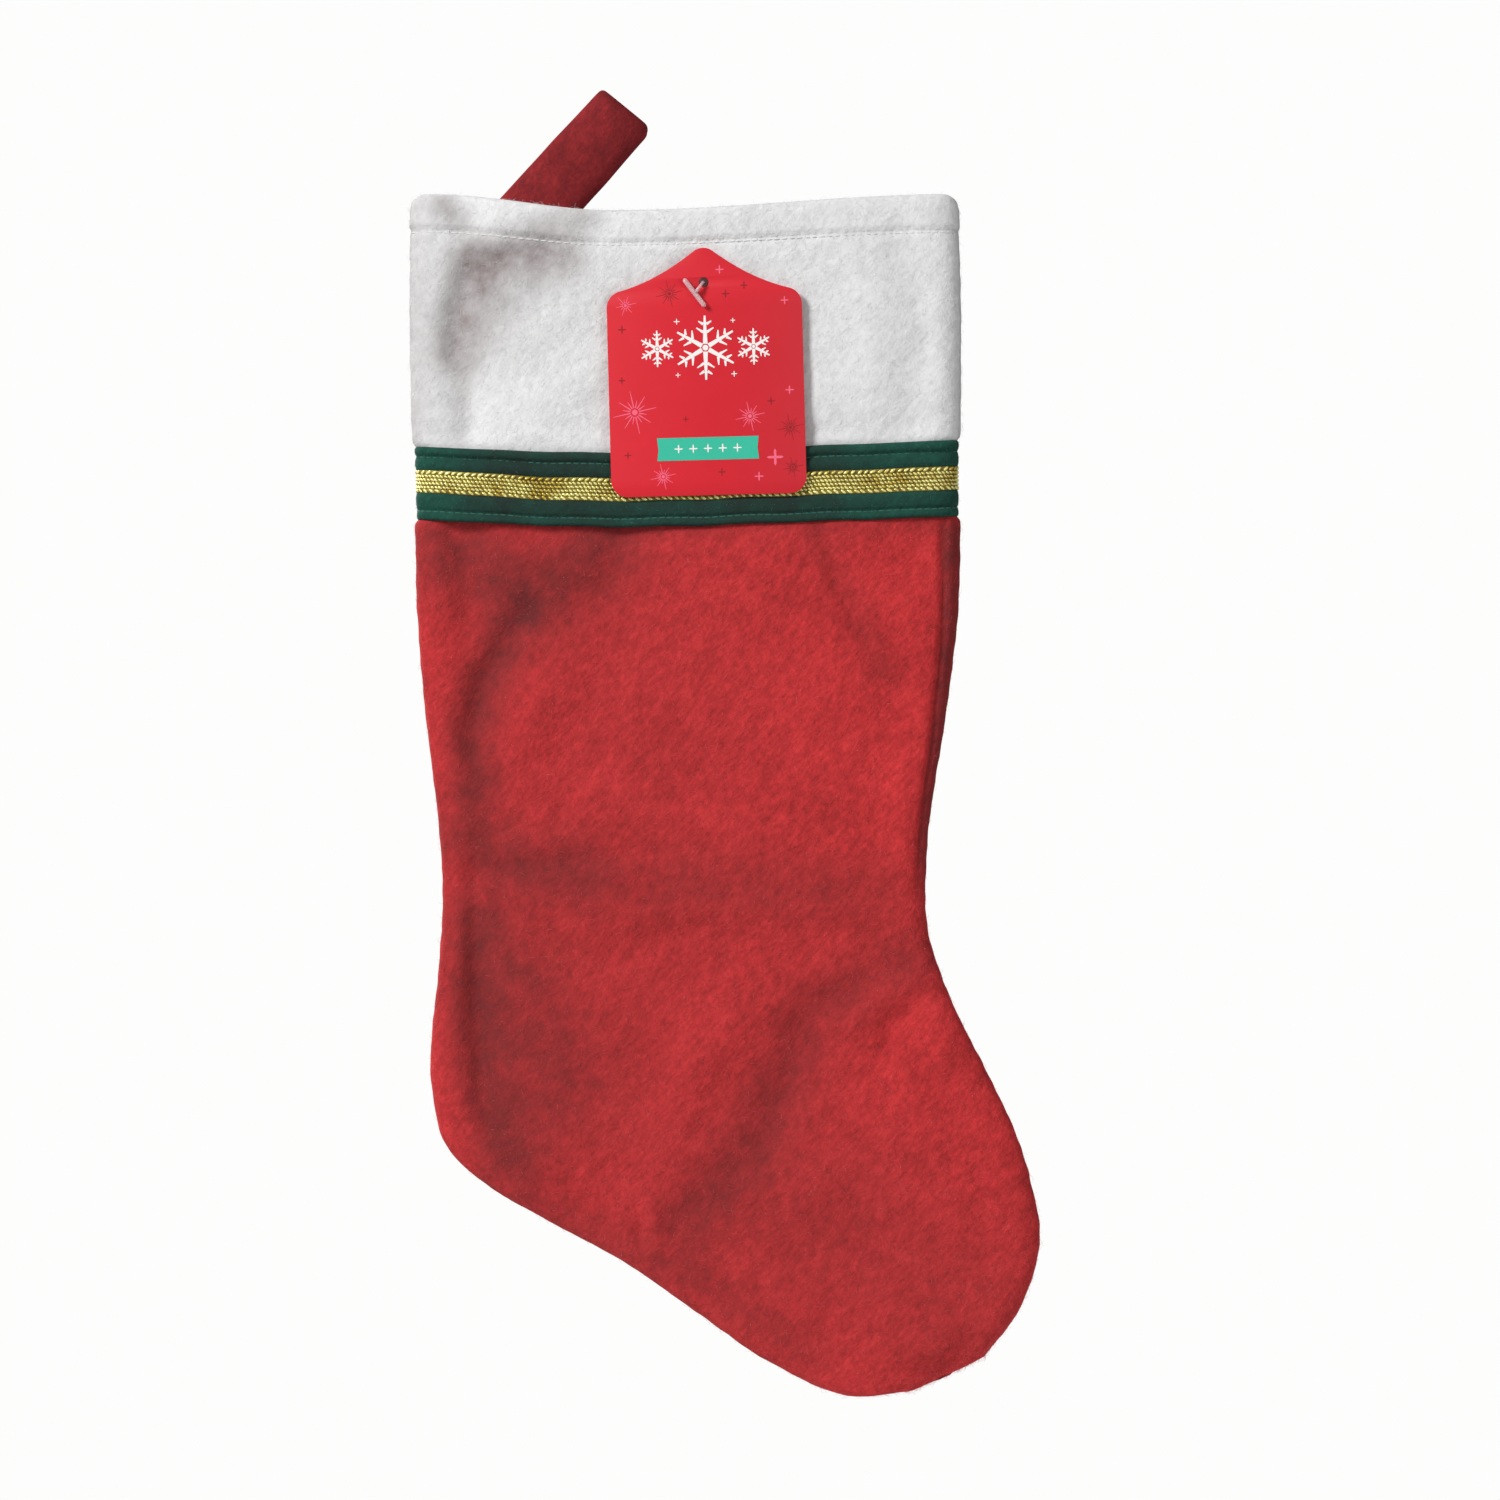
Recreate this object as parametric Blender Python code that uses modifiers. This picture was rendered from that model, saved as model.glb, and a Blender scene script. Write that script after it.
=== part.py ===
"""Felt Christmas stocking that hangs on its loop, made as separate sewn pieces.

Frame: +Z is up, +X is the toe side and the front faces -Y. The origin is inside
the top fold of the hanging loop, where a hook carries it. Lengths are in metres.
The outline is given in millimetres: x from the middle of the rim, and the depth
below the rim.
"""
import math

import bmesh
import bpy
from mathutils import Matrix, Vector

MM = 0.001
GAP = 0.3 * MM                      # left between pieces that touch

# The body: a puffed tube whose cross-section is flat with elliptical side edges.
RIM_X = 24.0 * MM                   # middle of the rim, from the hang point
RIM_Z = -30.4 * MM                  # rim at the side seams
HALF_DEPTH = 12.0 * MM
EDGE_WIDTH = 30.0 * MM              # width of the elliptical edge of the section
EDGE_STEPS = 5                      # segments in each quarter of the section
FELT = 1.8 * MM
RIM_DIP_FRONT = 5.5 * MM            # the free rim sags between the seams
RIM_DIP_BACK = 3.0 * MM
RIM_DIP_FADE = 60.0 * MM            # below this depth the felt hangs straight
ROWS_MM = [                         # (left x, depth), (right x, depth), rim to toe
    ((-102.5, 0), (102.5, 0)), ((-103, 40), (103.6, 40)), ((-102.5, 77), (103.6, 77)),
    ((-101.4, 107), (103.4, 107)), ((-100.8, 129), (103.4, 129)), ((-100, 159), (102.4, 159)),
    ((-97, 195), (98, 195)), ((-92.5, 232), (92.2, 232)), ((-90.6, 261), (90.4, 257)),
    ((-92, 289), (91, 274)), ((-94.7, 315), (94.7, 288)), ((-94.7, 334), (101.4, 305)),
    ((-89.4, 356), (110, 322)), ((-74, 371), (118, 338)), ((-51, 384.5), (124.7, 353)),
    ((-23.4, 399.5), (129.6, 369)), ((4.3, 418.5), (133.3, 389)), ((29.4, 436), (130.3, 406)),
    ((59, 449.6), (123.6, 421)), ((82.7, 448.5), (112.7, 434.6)),
]
TOE_END_MM = (100.5, 443.0)

# Bands round the cuff's lower edge, as depths below the rim.
TRIM_TOP, TRIM_BOTTOM, TRIM_FELT = 94.5 * MM, 122.5 * MM, 1.0 * MM
BRAID_TOP, BRAID_BOTTOM, BRAID_THICK = 103.5 * MM, 112.0 * MM, 1.0 * MM
BAND_SAG = 1.4 * MM                 # the bands' middle hangs lower than their ends
BAND_RISE = 1.0 * MM                # and their right end sits higher than the left
PINCH = 1.6 * MM                    # the braid's stitching draws everything in
PINCH_REACH = 5.0 * MM
CUFF_BOTTOM = 108.0 * MM            # cuff and leg meet under the braid
BAND_FADE = 25.0 * MM               # the felt follows the bands' sag this far past them

# Threads.
THREAD_RADIUS = 0.35 * MM
HEM_DEPTH = 13.5 * MM
TRIM_STITCH_INSET = 3.75 * MM
SEAM_THREAD_RADIUS = 0.5 * MM
SEAM_THREAD_INSET = 6.0 * MM        # it runs along the seam's turned-in allowance

# The hanging loop: a felt strap folded double, which leans to the right.
STRAP_LEAN = math.radians(42)
STRAP_WIDTH = 25.0 * MM
STRAP_THICK = 1.8 * MM
LOOP_GAP = 8.0 * MM                 # between the layers, where the hook goes
LOOP_OPENS = (-36 * MM, -26 * MM)   # along the strap, from the hang point
FOLD_Z = RIM_Z + 3.0 * MM           # the loop folds over along this line
SWING_LIMIT = math.radians(60)
TAIL_END_X = RIM_X - 95.8 * MM      # the tail is cut along the left side seam

# The swing tag and the plastic barb that holds it.
TAG_X = 31.3 * MM                   # hole and middle of the tag
TAG_APEX_Z = -51.0 * MM
TAG_HOLE_DROP = 12.75 * MM          # hole below the apex
TAG_HEIGHT = 91.0 * MM
TAG_HALF_WIDTH = 36.4 * MM
TAG_SHOULDER_DROP = 15.4 * MM       # where the slope meets the shoulder's round
TAG_SHOULDER_RADIUS = 6.3 * MM
TAG_FOOT_RADIUS = 6.2 * MM
TAG_APEX_RADIUS = 5.8 * MM
TAG_SLOPE_HOLLOW = 0.5              # how much steeper the slope starts than its average
TAG_THICK = 0.6 * MM
TAG_HOLE_RADIUS = 1.9 * MM
TAG_TILT = math.radians(1.5)
TAG_BACK_Y = -(HALF_DEPTH + TRIM_FELT + 2 * GAP + 2 * THREAD_RADIUS + GAP)
FILAMENT_RADIUS = 0.4 * MM
NEEDLE_HOLE_RADIUS = 0.75 * MM
BARB_LENGTH, BARB_RADIUS = 13.0 * MM, 1.1 * MM
BARB_ANGLE = math.radians(-53)
BARB_OFFSET = Vector((-3.6, 0, -4.3)) * MM      # middle of the barb from the hole
INNER_BAR_LENGTH, INNER_BAR_RADIUS = 9.0 * MM, 0.6 * MM

COLOURS = {                         # base colour, roughness, metallic
    "red_felt": ((0.42, 0.012, 0.020), 0.95, 0.0),
    "white_felt": ((0.86, 0.85, 0.84), 0.95, 0.0),
    "green_felt": ((0.010, 0.055, 0.030), 0.9, 0.0),
    "gold_braid": ((0.72, 0.50, 0.20), 0.4, 0.8),
    "strap_felt": ((0.30, 0.008, 0.014), 0.95, 0.0),
    "red_card": ((0.55, 0.02, 0.03), 0.5, 0.0),
    "clear_plastic": ((0.85, 0.86, 0.88), 0.25, 0.0),
    "white_thread": ((0.80, 0.79, 0.77), 0.8, 0.0),
    "green_thread": ((0.012, 0.045, 0.028), 0.8, 0.0),
    "red_thread": ((0.30, 0.010, 0.016), 0.8, 0.0),
}


# Scene helpers -----------------------------------------------------------------

def clear_scene():
    for obj in list(bpy.data.objects):
        bpy.data.objects.remove(obj, do_unlink=True)


def new_collection(name):
    collection = bpy.data.collections.new(name)
    bpy.context.scene.collection.children.link(collection)
    return collection


clear_scene()
PARTS = new_collection("hanging_stocking")
CUTTERS = new_collection("cutters")
BODIES = {}


def body_empty(name, location, parent=None):
    """An empty on a body's joint axis, which the body's pieces are parented to."""
    empty = bpy.data.objects.new(f"{name}_pivot", None)
    empty.empty_display_size = 0.01
    empty.location = location
    PARTS.objects.link(empty)
    BODIES[name] = empty
    bpy.context.view_layer.update()
    if parent:
        keep_place(empty, BODIES[parent])


def keep_place(obj, parent):
    """Parents obj without moving it."""
    obj.parent = parent
    obj.matrix_parent_inverse = parent.matrix_world.inverted()


def material_for(obj, look, node_name):
    colour, roughness, metallic = COLOURS[look]
    material = bpy.data.materials.new(node_name)
    material.use_nodes = True
    shader = material.node_tree.nodes["Principled BSDF"]
    shader.inputs["Base Color"].default_value = (*colour, 1)
    shader.inputs["Roughness"].default_value = roughness
    shader.inputs["Metallic"].default_value = metallic
    obj.data.materials.clear()
    obj.data.materials.append(material)


def mesh_object(name, bm, collection=None):
    bmesh.ops.recalc_face_normals(bm, faces=bm.faces)
    mesh = bpy.data.meshes.new(name)
    bm.to_mesh(mesh)
    bm.free()
    obj = bpy.data.objects.new(name, mesh)
    (collection or PARTS).objects.link(obj)
    return obj


def finish_piece(obj, look, body):
    material_for(obj, look, obj.name)
    bpy.context.view_layer.update()
    keep_place(obj, BODIES[body])


def hide_cutter(obj):
    obj.hide_render = True
    obj.display_type = "WIRE"


def box_cutter(name, low, high):
    bm = bmesh.new()
    bmesh.ops.create_cube(bm, size=1)
    size = Vector(high) - Vector(low)
    bmesh.ops.scale(bm, vec=size, verts=bm.verts)
    bmesh.ops.translate(bm, vec=(Vector(high) + Vector(low)) / 2, verts=bm.verts)
    cutter = mesh_object(name, bm, CUTTERS)
    hide_cutter(cutter)
    return cutter


def rod(name, start, end, radius, collection=None):
    """A straight round bar between two points, as a mesh."""
    start, end = Vector(start), Vector(end)
    bm = bmesh.new()
    turn = (end - start).to_track_quat("Z", "Y").to_matrix().to_4x4()
    place = Matrix.Translation((start + end) / 2) @ turn
    bmesh.ops.create_cone(bm, cap_ends=True, segments=12, radius1=radius, radius2=radius,
                          depth=(end - start).length, matrix=place)
    return mesh_object(name, bm, collection)


def boolean(obj, cutter, operation):
    modifier = obj.modifiers.new(cutter.name, "BOOLEAN")
    modifier.object = cutter
    modifier.operation = operation
    modifier.solver = "EXACT"


def thread_curve(name, points, radius, cyclic=False):
    """A thin tube through the points, with filled caps."""
    curve = bpy.data.curves.new(name, "CURVE")
    curve.dimensions = "3D"
    curve.bevel_depth = radius
    curve.bevel_resolution = 2
    curve.use_fill_caps = not cyclic
    spline = curve.splines.new("POLY")
    spline.points.add(len(points) - 1)
    for spline_point, point in zip(spline.points, points):
        spline_point.co = (*point, 1)
    spline.use_cyclic_u = cyclic
    obj = bpy.data.objects.new(name, curve)
    PARTS.objects.link(obj)
    return obj


# The body's surface -----------------------------------------------------------

def catmull(a, b, c, d, t):
    """A point between b and c on the smooth curve through four values."""
    return 0.5 * (2 * b + (c - a) * t + (2 * a - 5 * b + 4 * c - d) * t ** 2
                  + (3 * b - a - 3 * c + d) * t ** 3)


def row_at(place):
    """The outline's left and right points at a fractional row number."""
    index = min(int(place), len(ROWS_MM) - 2)
    picks = [min(max(index + step, 0), len(ROWS_MM) - 1) for step in (-1, 0, 1, 2)]
    ends = []
    for side in (0, 1):
        x, depth = (catmull(*(ROWS_MM[pick][side][axis] for pick in picks), place - index)
                    for axis in (0, 1))
        ends.append(Vector((RIM_X + x * MM, 0, RIM_Z - depth * MM)))
    return ends


def place_of_depth(depth):
    """The fractional row number at a depth in the level rows above the ankle."""
    for index in range(len(ROWS_MM) - 1):
        top, bottom = ROWS_MM[index][0][1] * MM, ROWS_MM[index + 1][0][1] * MM
        if depth <= bottom:
            return index + (depth - top) / (bottom - top)
    raise ValueError("depth is below the toe")


def pinch_at(depth):
    """How far the braid's stitching draws the surface in at a depth."""
    beyond = max(BRAID_TOP - depth, depth - BRAID_BOTTOM, 0)
    return PINCH * max(0, 1 - beyond / PINCH_REACH)


def band_shift(x, depth):
    """How far the bands, and the felt beside them, hang below their stated depth."""
    beyond = max(TRIM_TOP - depth, depth - TRIM_BOTTOM, 0)
    across = (x - RIM_X) / (103 * MM)
    shift = BAND_SAG * (1 - across ** 2) - BAND_RISE * across
    return shift * max(0, 1 - beyond / BAND_FADE)


def rim_shift(point, depth):
    """How far the free rim has sagged, more in front than behind."""
    across = (point.x - RIM_X + 12 * MM) / (103 * MM)
    dip = RIM_DIP_FRONT if point.y < 0 else RIM_DIP_BACK
    away_from_seam = min(1, abs(point.y) / (0.5 * HALF_DEPTH))
    return dip * max(0, 1 - across ** 2) * away_from_seam * max(0, 1 - depth / RIM_DIP_FADE)


def ring(left, right, grow):
    """The cross-section's points between two outline points, grown outwards."""
    middle = (left + right) / 2
    along = (right - left).normalized()
    half_width = (right - left).length / 2
    edge = min(EDGE_WIDTH, 0.8 * half_width)
    puff = HALF_DEPTH * math.sqrt(edge / EDGE_WIDTH) + grow
    straight = half_width - edge
    edge += grow
    points = []
    for quarter in range(4):
        first = 1 if quarter == 2 else 0
        last = EDGE_STEPS - 1 if quarter == 3 else EDGE_STEPS
        side = 1 if quarter in (0, 3) else -1
        for step in range(first, last + 1):
            angle = math.pi / 2 * (quarter + step / EDGE_STEPS)
            across = side * straight + edge * math.cos(angle)
            points.append(middle + along * across + Vector((0, puff * math.sin(angle), 0)))
    return points


def level_ring(depth, grow=0):
    """The body's cross-section at a depth above the ankle, with its pinch and sag."""
    points = ring(*row_at(place_of_depth(depth)), grow - pinch_at(depth))
    return [point - Vector((0, 0, band_shift(point.x, depth) + rim_shift(point, depth)))
            for point in points]


def levels_between(top, bottom):
    """Depths at which every band and shell has a ring, so that they stay parallel."""
    shared = (HEM_DEPTH, 40 * MM, 69 * MM, TRIM_TOP, BRAID_TOP - PINCH_REACH, BRAID_TOP,
              BRAID_BOTTOM, BRAID_BOTTOM + PINCH_REACH, TRIM_BOTTOM, 135 * MM, 148 * MM)
    inside = [depth for depth in shared if top + MM < depth < bottom - MM]
    return [top, *inside, bottom]


def tube(name, rings, end=None):
    """An open tube through rings, closed by a fan at its end point if there is one."""
    bm = bmesh.new()
    loops = [[bm.verts.new(point) for point in points] for points in rings]
    count = len(loops[0])
    for upper, lower in zip(loops, loops[1:]):
        for index in range(count):
            after = (index + 1) % count
            bm.faces.new((upper[index], upper[after], lower[after], lower[index]))
    if end:
        tip = bm.verts.new(end)
        for index in range(count):
            bm.faces.new((loops[-1][index], loops[-1][(index + 1) % count], tip))
    obj = mesh_object(name, bm)
    first = obj.data.polygons[0]
    if (first.center - Vector((RIM_X, 0, first.center.z))).dot(first.normal) < 0:
        obj.data.flip_normals()
    return obj


def shell_halves(name, rings, thickness, look, halves, end=None):
    """Front and back halves of a shell, each cut off just short of the side seams."""
    for half in ("front", "back"):
        piece = tube(f"{name}_{half}", rings, end)
        solidify = piece.modifiers.new("thickness", "SOLIDIFY")
        solidify.thickness = thickness
        solidify.offset = -1
        solidify.use_even_offset = True
        boolean(piece, halves[half], "INTERSECT")
        finish_piece(piece, look, "stocking")


# Sewn pieces ------------------------------------------------------------------

def leg_rings():
    """Level rings down to the ankle, then rings that turn with the foot."""
    level_end = 159 * MM
    rings = [level_ring(depth) for depth in levels_between(CUFF_BOTTOM + GAP / 2, level_end)]
    last = len(ROWS_MM) - 1
    steps = 2 * (last - 5)
    for step in range(1, steps + 1):
        rings.append(ring(*row_at(5 + step / 2), 0))
    return rings


def make_shells():
    reach = 0.6
    halves = {
        "front": box_cutter("front_half", (-reach, -reach, -reach), (reach, -GAP / 2, reach)),
        "back": box_cutter("back_half", (-reach, GAP / 2, -reach), (reach, reach, reach)),
    }
    toe = Vector((RIM_X + TOE_END_MM[0] * MM, 0, RIM_Z - TOE_END_MM[1] * MM))
    shell_halves("leg", leg_rings(), FELT, "red_felt", halves, end=toe)
    trim_outer = GAP + TRIM_FELT
    braid_outer = trim_outer + GAP + BRAID_THICK
    bands = (
        ("cuff", 0, CUFF_BOTTOM - GAP / 2, 0, FELT, "white_felt"),
        ("trim", TRIM_TOP, TRIM_BOTTOM, trim_outer, TRIM_FELT, "green_felt"),
        ("braid", BRAID_TOP, BRAID_BOTTOM, braid_outer, BRAID_THICK, "gold_braid"),
    )
    for name, top, bottom, grow, thickness, look in bands:
        rings = [level_ring(depth, grow) for depth in levels_between(top, bottom)]
        shell_halves(name, rings, thickness, look, halves)


def surface_line(depth, grow, half):
    """Points across the front or back at one depth, from seam to seam."""
    sign = -1 if half == "front" else 1
    chosen = [point for point in level_ring(depth, grow) if sign * point.y > MM]
    return sorted(chosen, key=lambda point: point.x)


def make_surface_threads():
    proud = GAP + THREAD_RADIUS
    on_trim = GAP + TRIM_FELT + proud
    lines = (
        ("hem_thread", HEM_DEPTH, proud, "white_thread"),
        ("trim_upper_thread", TRIM_TOP + TRIM_STITCH_INSET, on_trim, "green_thread"),
        ("trim_lower_thread", TRIM_BOTTOM - TRIM_STITCH_INSET, on_trim, "green_thread"),
    )
    for name, depth, grow, look in lines:
        for half in ("front", "back"):
            points = surface_line(depth, grow, half)
            thread = thread_curve(f"{name}_{half}", points, THREAD_RADIUS)
            finish_piece(thread, look, "stocking")


def make_side_seam_thread():
    """One thread inside the seam, from the left of the rim round the toe to the right."""
    start = 0.12
    last = len(ROWS_MM) - 2.0
    steps = 24
    left_side, right_side = [], []
    for step in range(steps + 1):
        left, right = row_at(start + (last - start) * step / steps)
        along = (right - left).normalized()
        left_side.append(left + along * SEAM_THREAD_INSET)
        right_side.append(right - along * SEAM_THREAD_INSET)
    thread = thread_curve("side_seam_thread", left_side + right_side[::-1], SEAM_THREAD_RADIUS)
    finish_piece(thread, "red_thread", "stocking")


# The hanging loop ---------------------------------------------------------------

STRAP_ALONG = Vector((math.sin(STRAP_LEAN), 0, math.cos(STRAP_LEAN)))
STRAP_ACROSS = Vector((math.cos(STRAP_LEAN), 0, -math.sin(STRAP_LEAN)))


def fold_cutter(name, up):
    """A roof whose slopes leave each side of the fold half of the swing's free angle."""
    reach, slope = 60 * MM, math.tan(SWING_LIMIT / 2 + math.radians(2))
    sign = 1 if up else -1
    profile = [(0, sign * GAP / 2), (reach, sign * reach * slope), (reach, -sign * reach),
               (-reach, -sign * reach), (-reach, sign * reach * slope)]
    bm = bmesh.new()
    corners = [bm.verts.new((-0.2, y, FOLD_Z + z)) for y, z in profile]
    face = bm.faces.new(corners)
    made = bmesh.ops.extrude_face_region(bm, geom=[face])["geom"]
    moved = [item for item in made if isinstance(item, bmesh.types.BMVert)]
    bmesh.ops.translate(bm, vec=(0.4, 0, 0), verts=moved)
    cutter = mesh_object(name, bm, CUTTERS)
    hide_cutter(cutter)
    return cutter


def loop_path():
    """Half-gap of the strap's mid-line against its length, then round the top fold."""
    near = STRAP_THICK / 2 + GAP / 2
    radius = STRAP_THICK / 2 + LOOP_GAP / 2
    top_centre = -LOOP_GAP / 2
    rising = []
    for along in (-58 * MM, -45 * MM, LOOP_OPENS[0]):
        rising.append((along, near))
    steps = 6
    for step in range(1, steps + 1):
        share = step / steps
        along = LOOP_OPENS[0] + (LOOP_OPENS[1] - LOOP_OPENS[0]) * share
        ease = share * share * (3 - 2 * share)
        rising.append((along, near + (radius - near) * ease))
    fold = []
    for step in range(9):
        angle = math.pi * step / 8
        fold.append((top_centre + radius * math.sin(angle), radius * math.cos(angle)))
    return rising + fold + [(along, -away) for along, away in reversed(rising)]


def make_loop():
    bm = bmesh.new()
    edges = []
    for across in (-STRAP_WIDTH / 2, STRAP_WIDTH / 2):
        edges.append([bm.verts.new(STRAP_ALONG * along + STRAP_ACROSS * across + Vector((0, away, 0)))
                      for along, away in loop_path()])
    for index in range(len(edges[0]) - 1):
        bm.faces.new((edges[0][index], edges[0][index + 1], edges[1][index + 1], edges[1][index]))
    loop = mesh_object("hanging_loop", bm)
    solidify = loop.modifiers.new("thickness", "SOLIDIFY")
    solidify.thickness = STRAP_THICK
    solidify.offset = 0
    solidify.use_even_offset = True
    boolean(loop, fold_cutter("loop_fold", up=True), "DIFFERENCE")
    finish_piece(loop, "strap_felt", "loop")


def make_loop_tail():
    """The sewn-in end of the strap, both layers as one plank inside the mouth."""
    top, bottom = -25 * MM, -125 * MM
    bm = bmesh.new()
    bmesh.ops.create_cube(bm, size=1)
    size = Vector((STRAP_WIDTH, 2 * STRAP_THICK + GAP, top - bottom))
    bmesh.ops.scale(bm, vec=size, verts=bm.verts)
    turn = Matrix((STRAP_ACROSS, Vector((0, 1, 0)), STRAP_ALONG)).transposed()
    bmesh.ops.transform(bm, matrix=turn.to_4x4(), verts=bm.verts)
    bmesh.ops.translate(bm, vec=STRAP_ALONG * (top + bottom) / 2, verts=bm.verts)
    tail = mesh_object("loop_tail", bm)
    boolean(tail, fold_cutter("tail_fold", up=False), "DIFFERENCE")
    seam = box_cutter("tail_seam", (-0.3, -0.1, -0.3), (TAIL_END_X, 0.1, 0.1))
    boolean(tail, seam, "DIFFERENCE")
    finish_piece(tail, "strap_felt", "stocking")


def make_tack_thread():
    """A box of stitching that holds the strap's tail to the seam."""
    y = -(STRAP_THICK + GAP / 2 + GAP + THREAD_RADIUS)
    low, high = -93 * MM, -81 * MM
    half = STRAP_WIDTH / 2 - 4 * MM
    corners = [(low, -half + 8 * MM), (high, -half), (high, half), (low, half)]
    points = [STRAP_ALONG * along + STRAP_ACROSS * across + Vector((0, y, 0))
              for along, across in corners]
    thread = thread_curve("loop_tack_thread", points, THREAD_RADIUS, cyclic=True)
    finish_piece(thread, "red_thread", "stocking")


# The swing tag -----------------------------------------------------------------

def arc(centre, radius, start, stop, steps):
    """Points on an arc, angles in degrees anticlockwise from +X."""
    points = []
    for step in range(steps + 1):
        angle = math.radians(start + (stop - start) * step / steps)
        points.append((centre[0] + radius * math.cos(angle), centre[1] + radius * math.sin(angle)))
    return points


def tag_half_outline():
    """The right half, from the apex down: rounded apex, hollow slope, rounded corners."""
    apex = arc((0, -TAG_APEX_RADIUS), TAG_APEX_RADIUS, 90, 51, 4)
    corner = arc((TAG_HALF_WIDTH - TAG_SHOULDER_RADIUS, -TAG_SHOULDER_DROP - TAG_SHOULDER_RADIUS),
                 TAG_SHOULDER_RADIUS, 75, 0, 5)
    start, stop = apex[-1], corner[0]
    hollow = []
    steps = 6
    for step in range(1, steps):
        share = step / steps
        drop = share * (1 + TAG_SLOPE_HOLLOW * (1 - share))
        hollow.append((start[0] + (stop[0] - start[0]) * share,
                       start[1] + (stop[1] - start[1]) * drop))
    foot = arc((TAG_HALF_WIDTH - TAG_FOOT_RADIUS, -TAG_HEIGHT + TAG_FOOT_RADIUS),
               TAG_FOOT_RADIUS, 0, -90, 4)
    return apex + hollow + corner + foot


def make_tag():
    half = tag_half_outline()
    outline = half + [(-x, z) for x, z in reversed(half) if x > 1e-6]
    curve = bpy.data.curves.new("swing_tag", "CURVE")
    curve.dimensions = "2D"
    curve.fill_mode = "BOTH"
    curve.extrude = TAG_THICK / 2
    spline = curve.splines.new("POLY")
    spline.points.add(len(outline) - 1)
    for spline_point, (x, z) in zip(spline.points, outline):
        spline_point.co = (x, z + TAG_HOLE_DROP, 0, 1)
    spline.use_cyclic_u = True
    spline = curve.splines.new("POLY")
    hole = arc((0, 0), TAG_HOLE_RADIUS, 0, 337.5, 15)
    spline.points.add(len(hole) - 1)
    for spline_point, (x, z) in zip(spline.points, hole):
        spline_point.co = (x, z, 0, 1)
    spline.use_cyclic_u = True
    tag = bpy.data.objects.new("swing_tag", curve)
    PARTS.objects.link(tag)
    tag.location = (TAG_X, TAG_BACK_Y - TAG_THICK / 2, TAG_APEX_Z - TAG_HOLE_DROP)
    tag.rotation_euler = (math.pi / 2, -TAG_TILT, 0)
    finish_piece(tag, "red_card", "tag")


def joined_rods(name, first, second):
    """One solid from two crossing bars."""
    piece = rod(name, *first)
    other = rod(f"{name}_arm", *second, collection=CUTTERS)
    hide_cutter(other)
    boolean(piece, other, "UNION")
    return piece


def make_fasteners():
    hole_z = TAG_APEX_Z - TAG_HOLE_DROP
    felt_y = -HALF_DEPTH
    split_y = felt_y - 1.0 * MM
    front_y = TAG_BACK_Y - TAG_THICK - GAP - BARB_RADIUS
    middle = Vector((TAG_X, front_y, hole_z))
    half_bar = Vector((math.cos(BARB_ANGLE), 0, math.sin(BARB_ANGLE))) * BARB_LENGTH / 2
    barb_middle = middle + Vector((BARB_OFFSET.x, 0, BARB_OFFSET.z))
    head = rod("fastener_head", (TAG_X, split_y - GAP, hole_z), middle, FILAMENT_RADIUS)
    bridge = rod("head_bridge", middle + Vector((0.2, 0, 0.2)) * MM, barb_middle,
                 0.7 * MM, CUTTERS)
    bar = rod("head_bar", barb_middle - half_bar, barb_middle + half_bar, BARB_RADIUS, CUTTERS)
    for arm in (bridge, bar):
        hide_cutter(arm)
        boolean(head, arm, "UNION")
    finish_piece(head, "clear_plastic", "tag")
    inner_y = felt_y + FELT + GAP + INNER_BAR_RADIUS
    reach = Vector((INNER_BAR_LENGTH / 2, 0, 0))
    centre = Vector((TAG_X, inner_y, hole_z))
    anchor = joined_rods("fastener_anchor",
                         (centre - reach, centre + reach, INNER_BAR_RADIUS),
                         (centre, (TAG_X, split_y, hole_z), FILAMENT_RADIUS))
    finish_piece(anchor, "clear_plastic", "fastener_anchor")
    needle = rod("needle_hole", (TAG_X, felt_y - 5 * MM, hole_z), (TAG_X, -4 * MM, hole_z),
                 NEEDLE_HOLE_RADIUS, CUTTERS)
    hide_cutter(needle)
    boolean(bpy.data.objects["cuff_front"], needle, "DIFFERENCE")


def make_stocking():
    strap_x = math.tan(STRAP_LEAN) * FOLD_Z
    body_empty("loop", (0, 0, 0))
    body_empty("stocking", (strap_x, 0, FOLD_Z), "loop")
    body_empty("fastener_anchor", (TAG_X, -HALF_DEPTH, TAG_APEX_Z - TAG_HOLE_DROP), "stocking")
    body_empty("tag", (TAG_X, -HALF_DEPTH - 0.6 * MM, TAG_APEX_Z), "fastener_anchor")
    make_shells()
    make_surface_threads()
    make_side_seam_thread()
    make_loop()
    make_loop_tail()
    make_tack_thread()
    make_tag()
    make_fasteners()
    for obj in PARTS.objects:
        if obj.type == "MESH":
            obj.data.shade_smooth()
            obj.data.set_sharp_from_angle(angle=math.radians(35))


make_stocking()
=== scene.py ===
import math
import random

import bmesh
import bpy
import numpy as np
from mathutils import Matrix, Vector, noise


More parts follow.
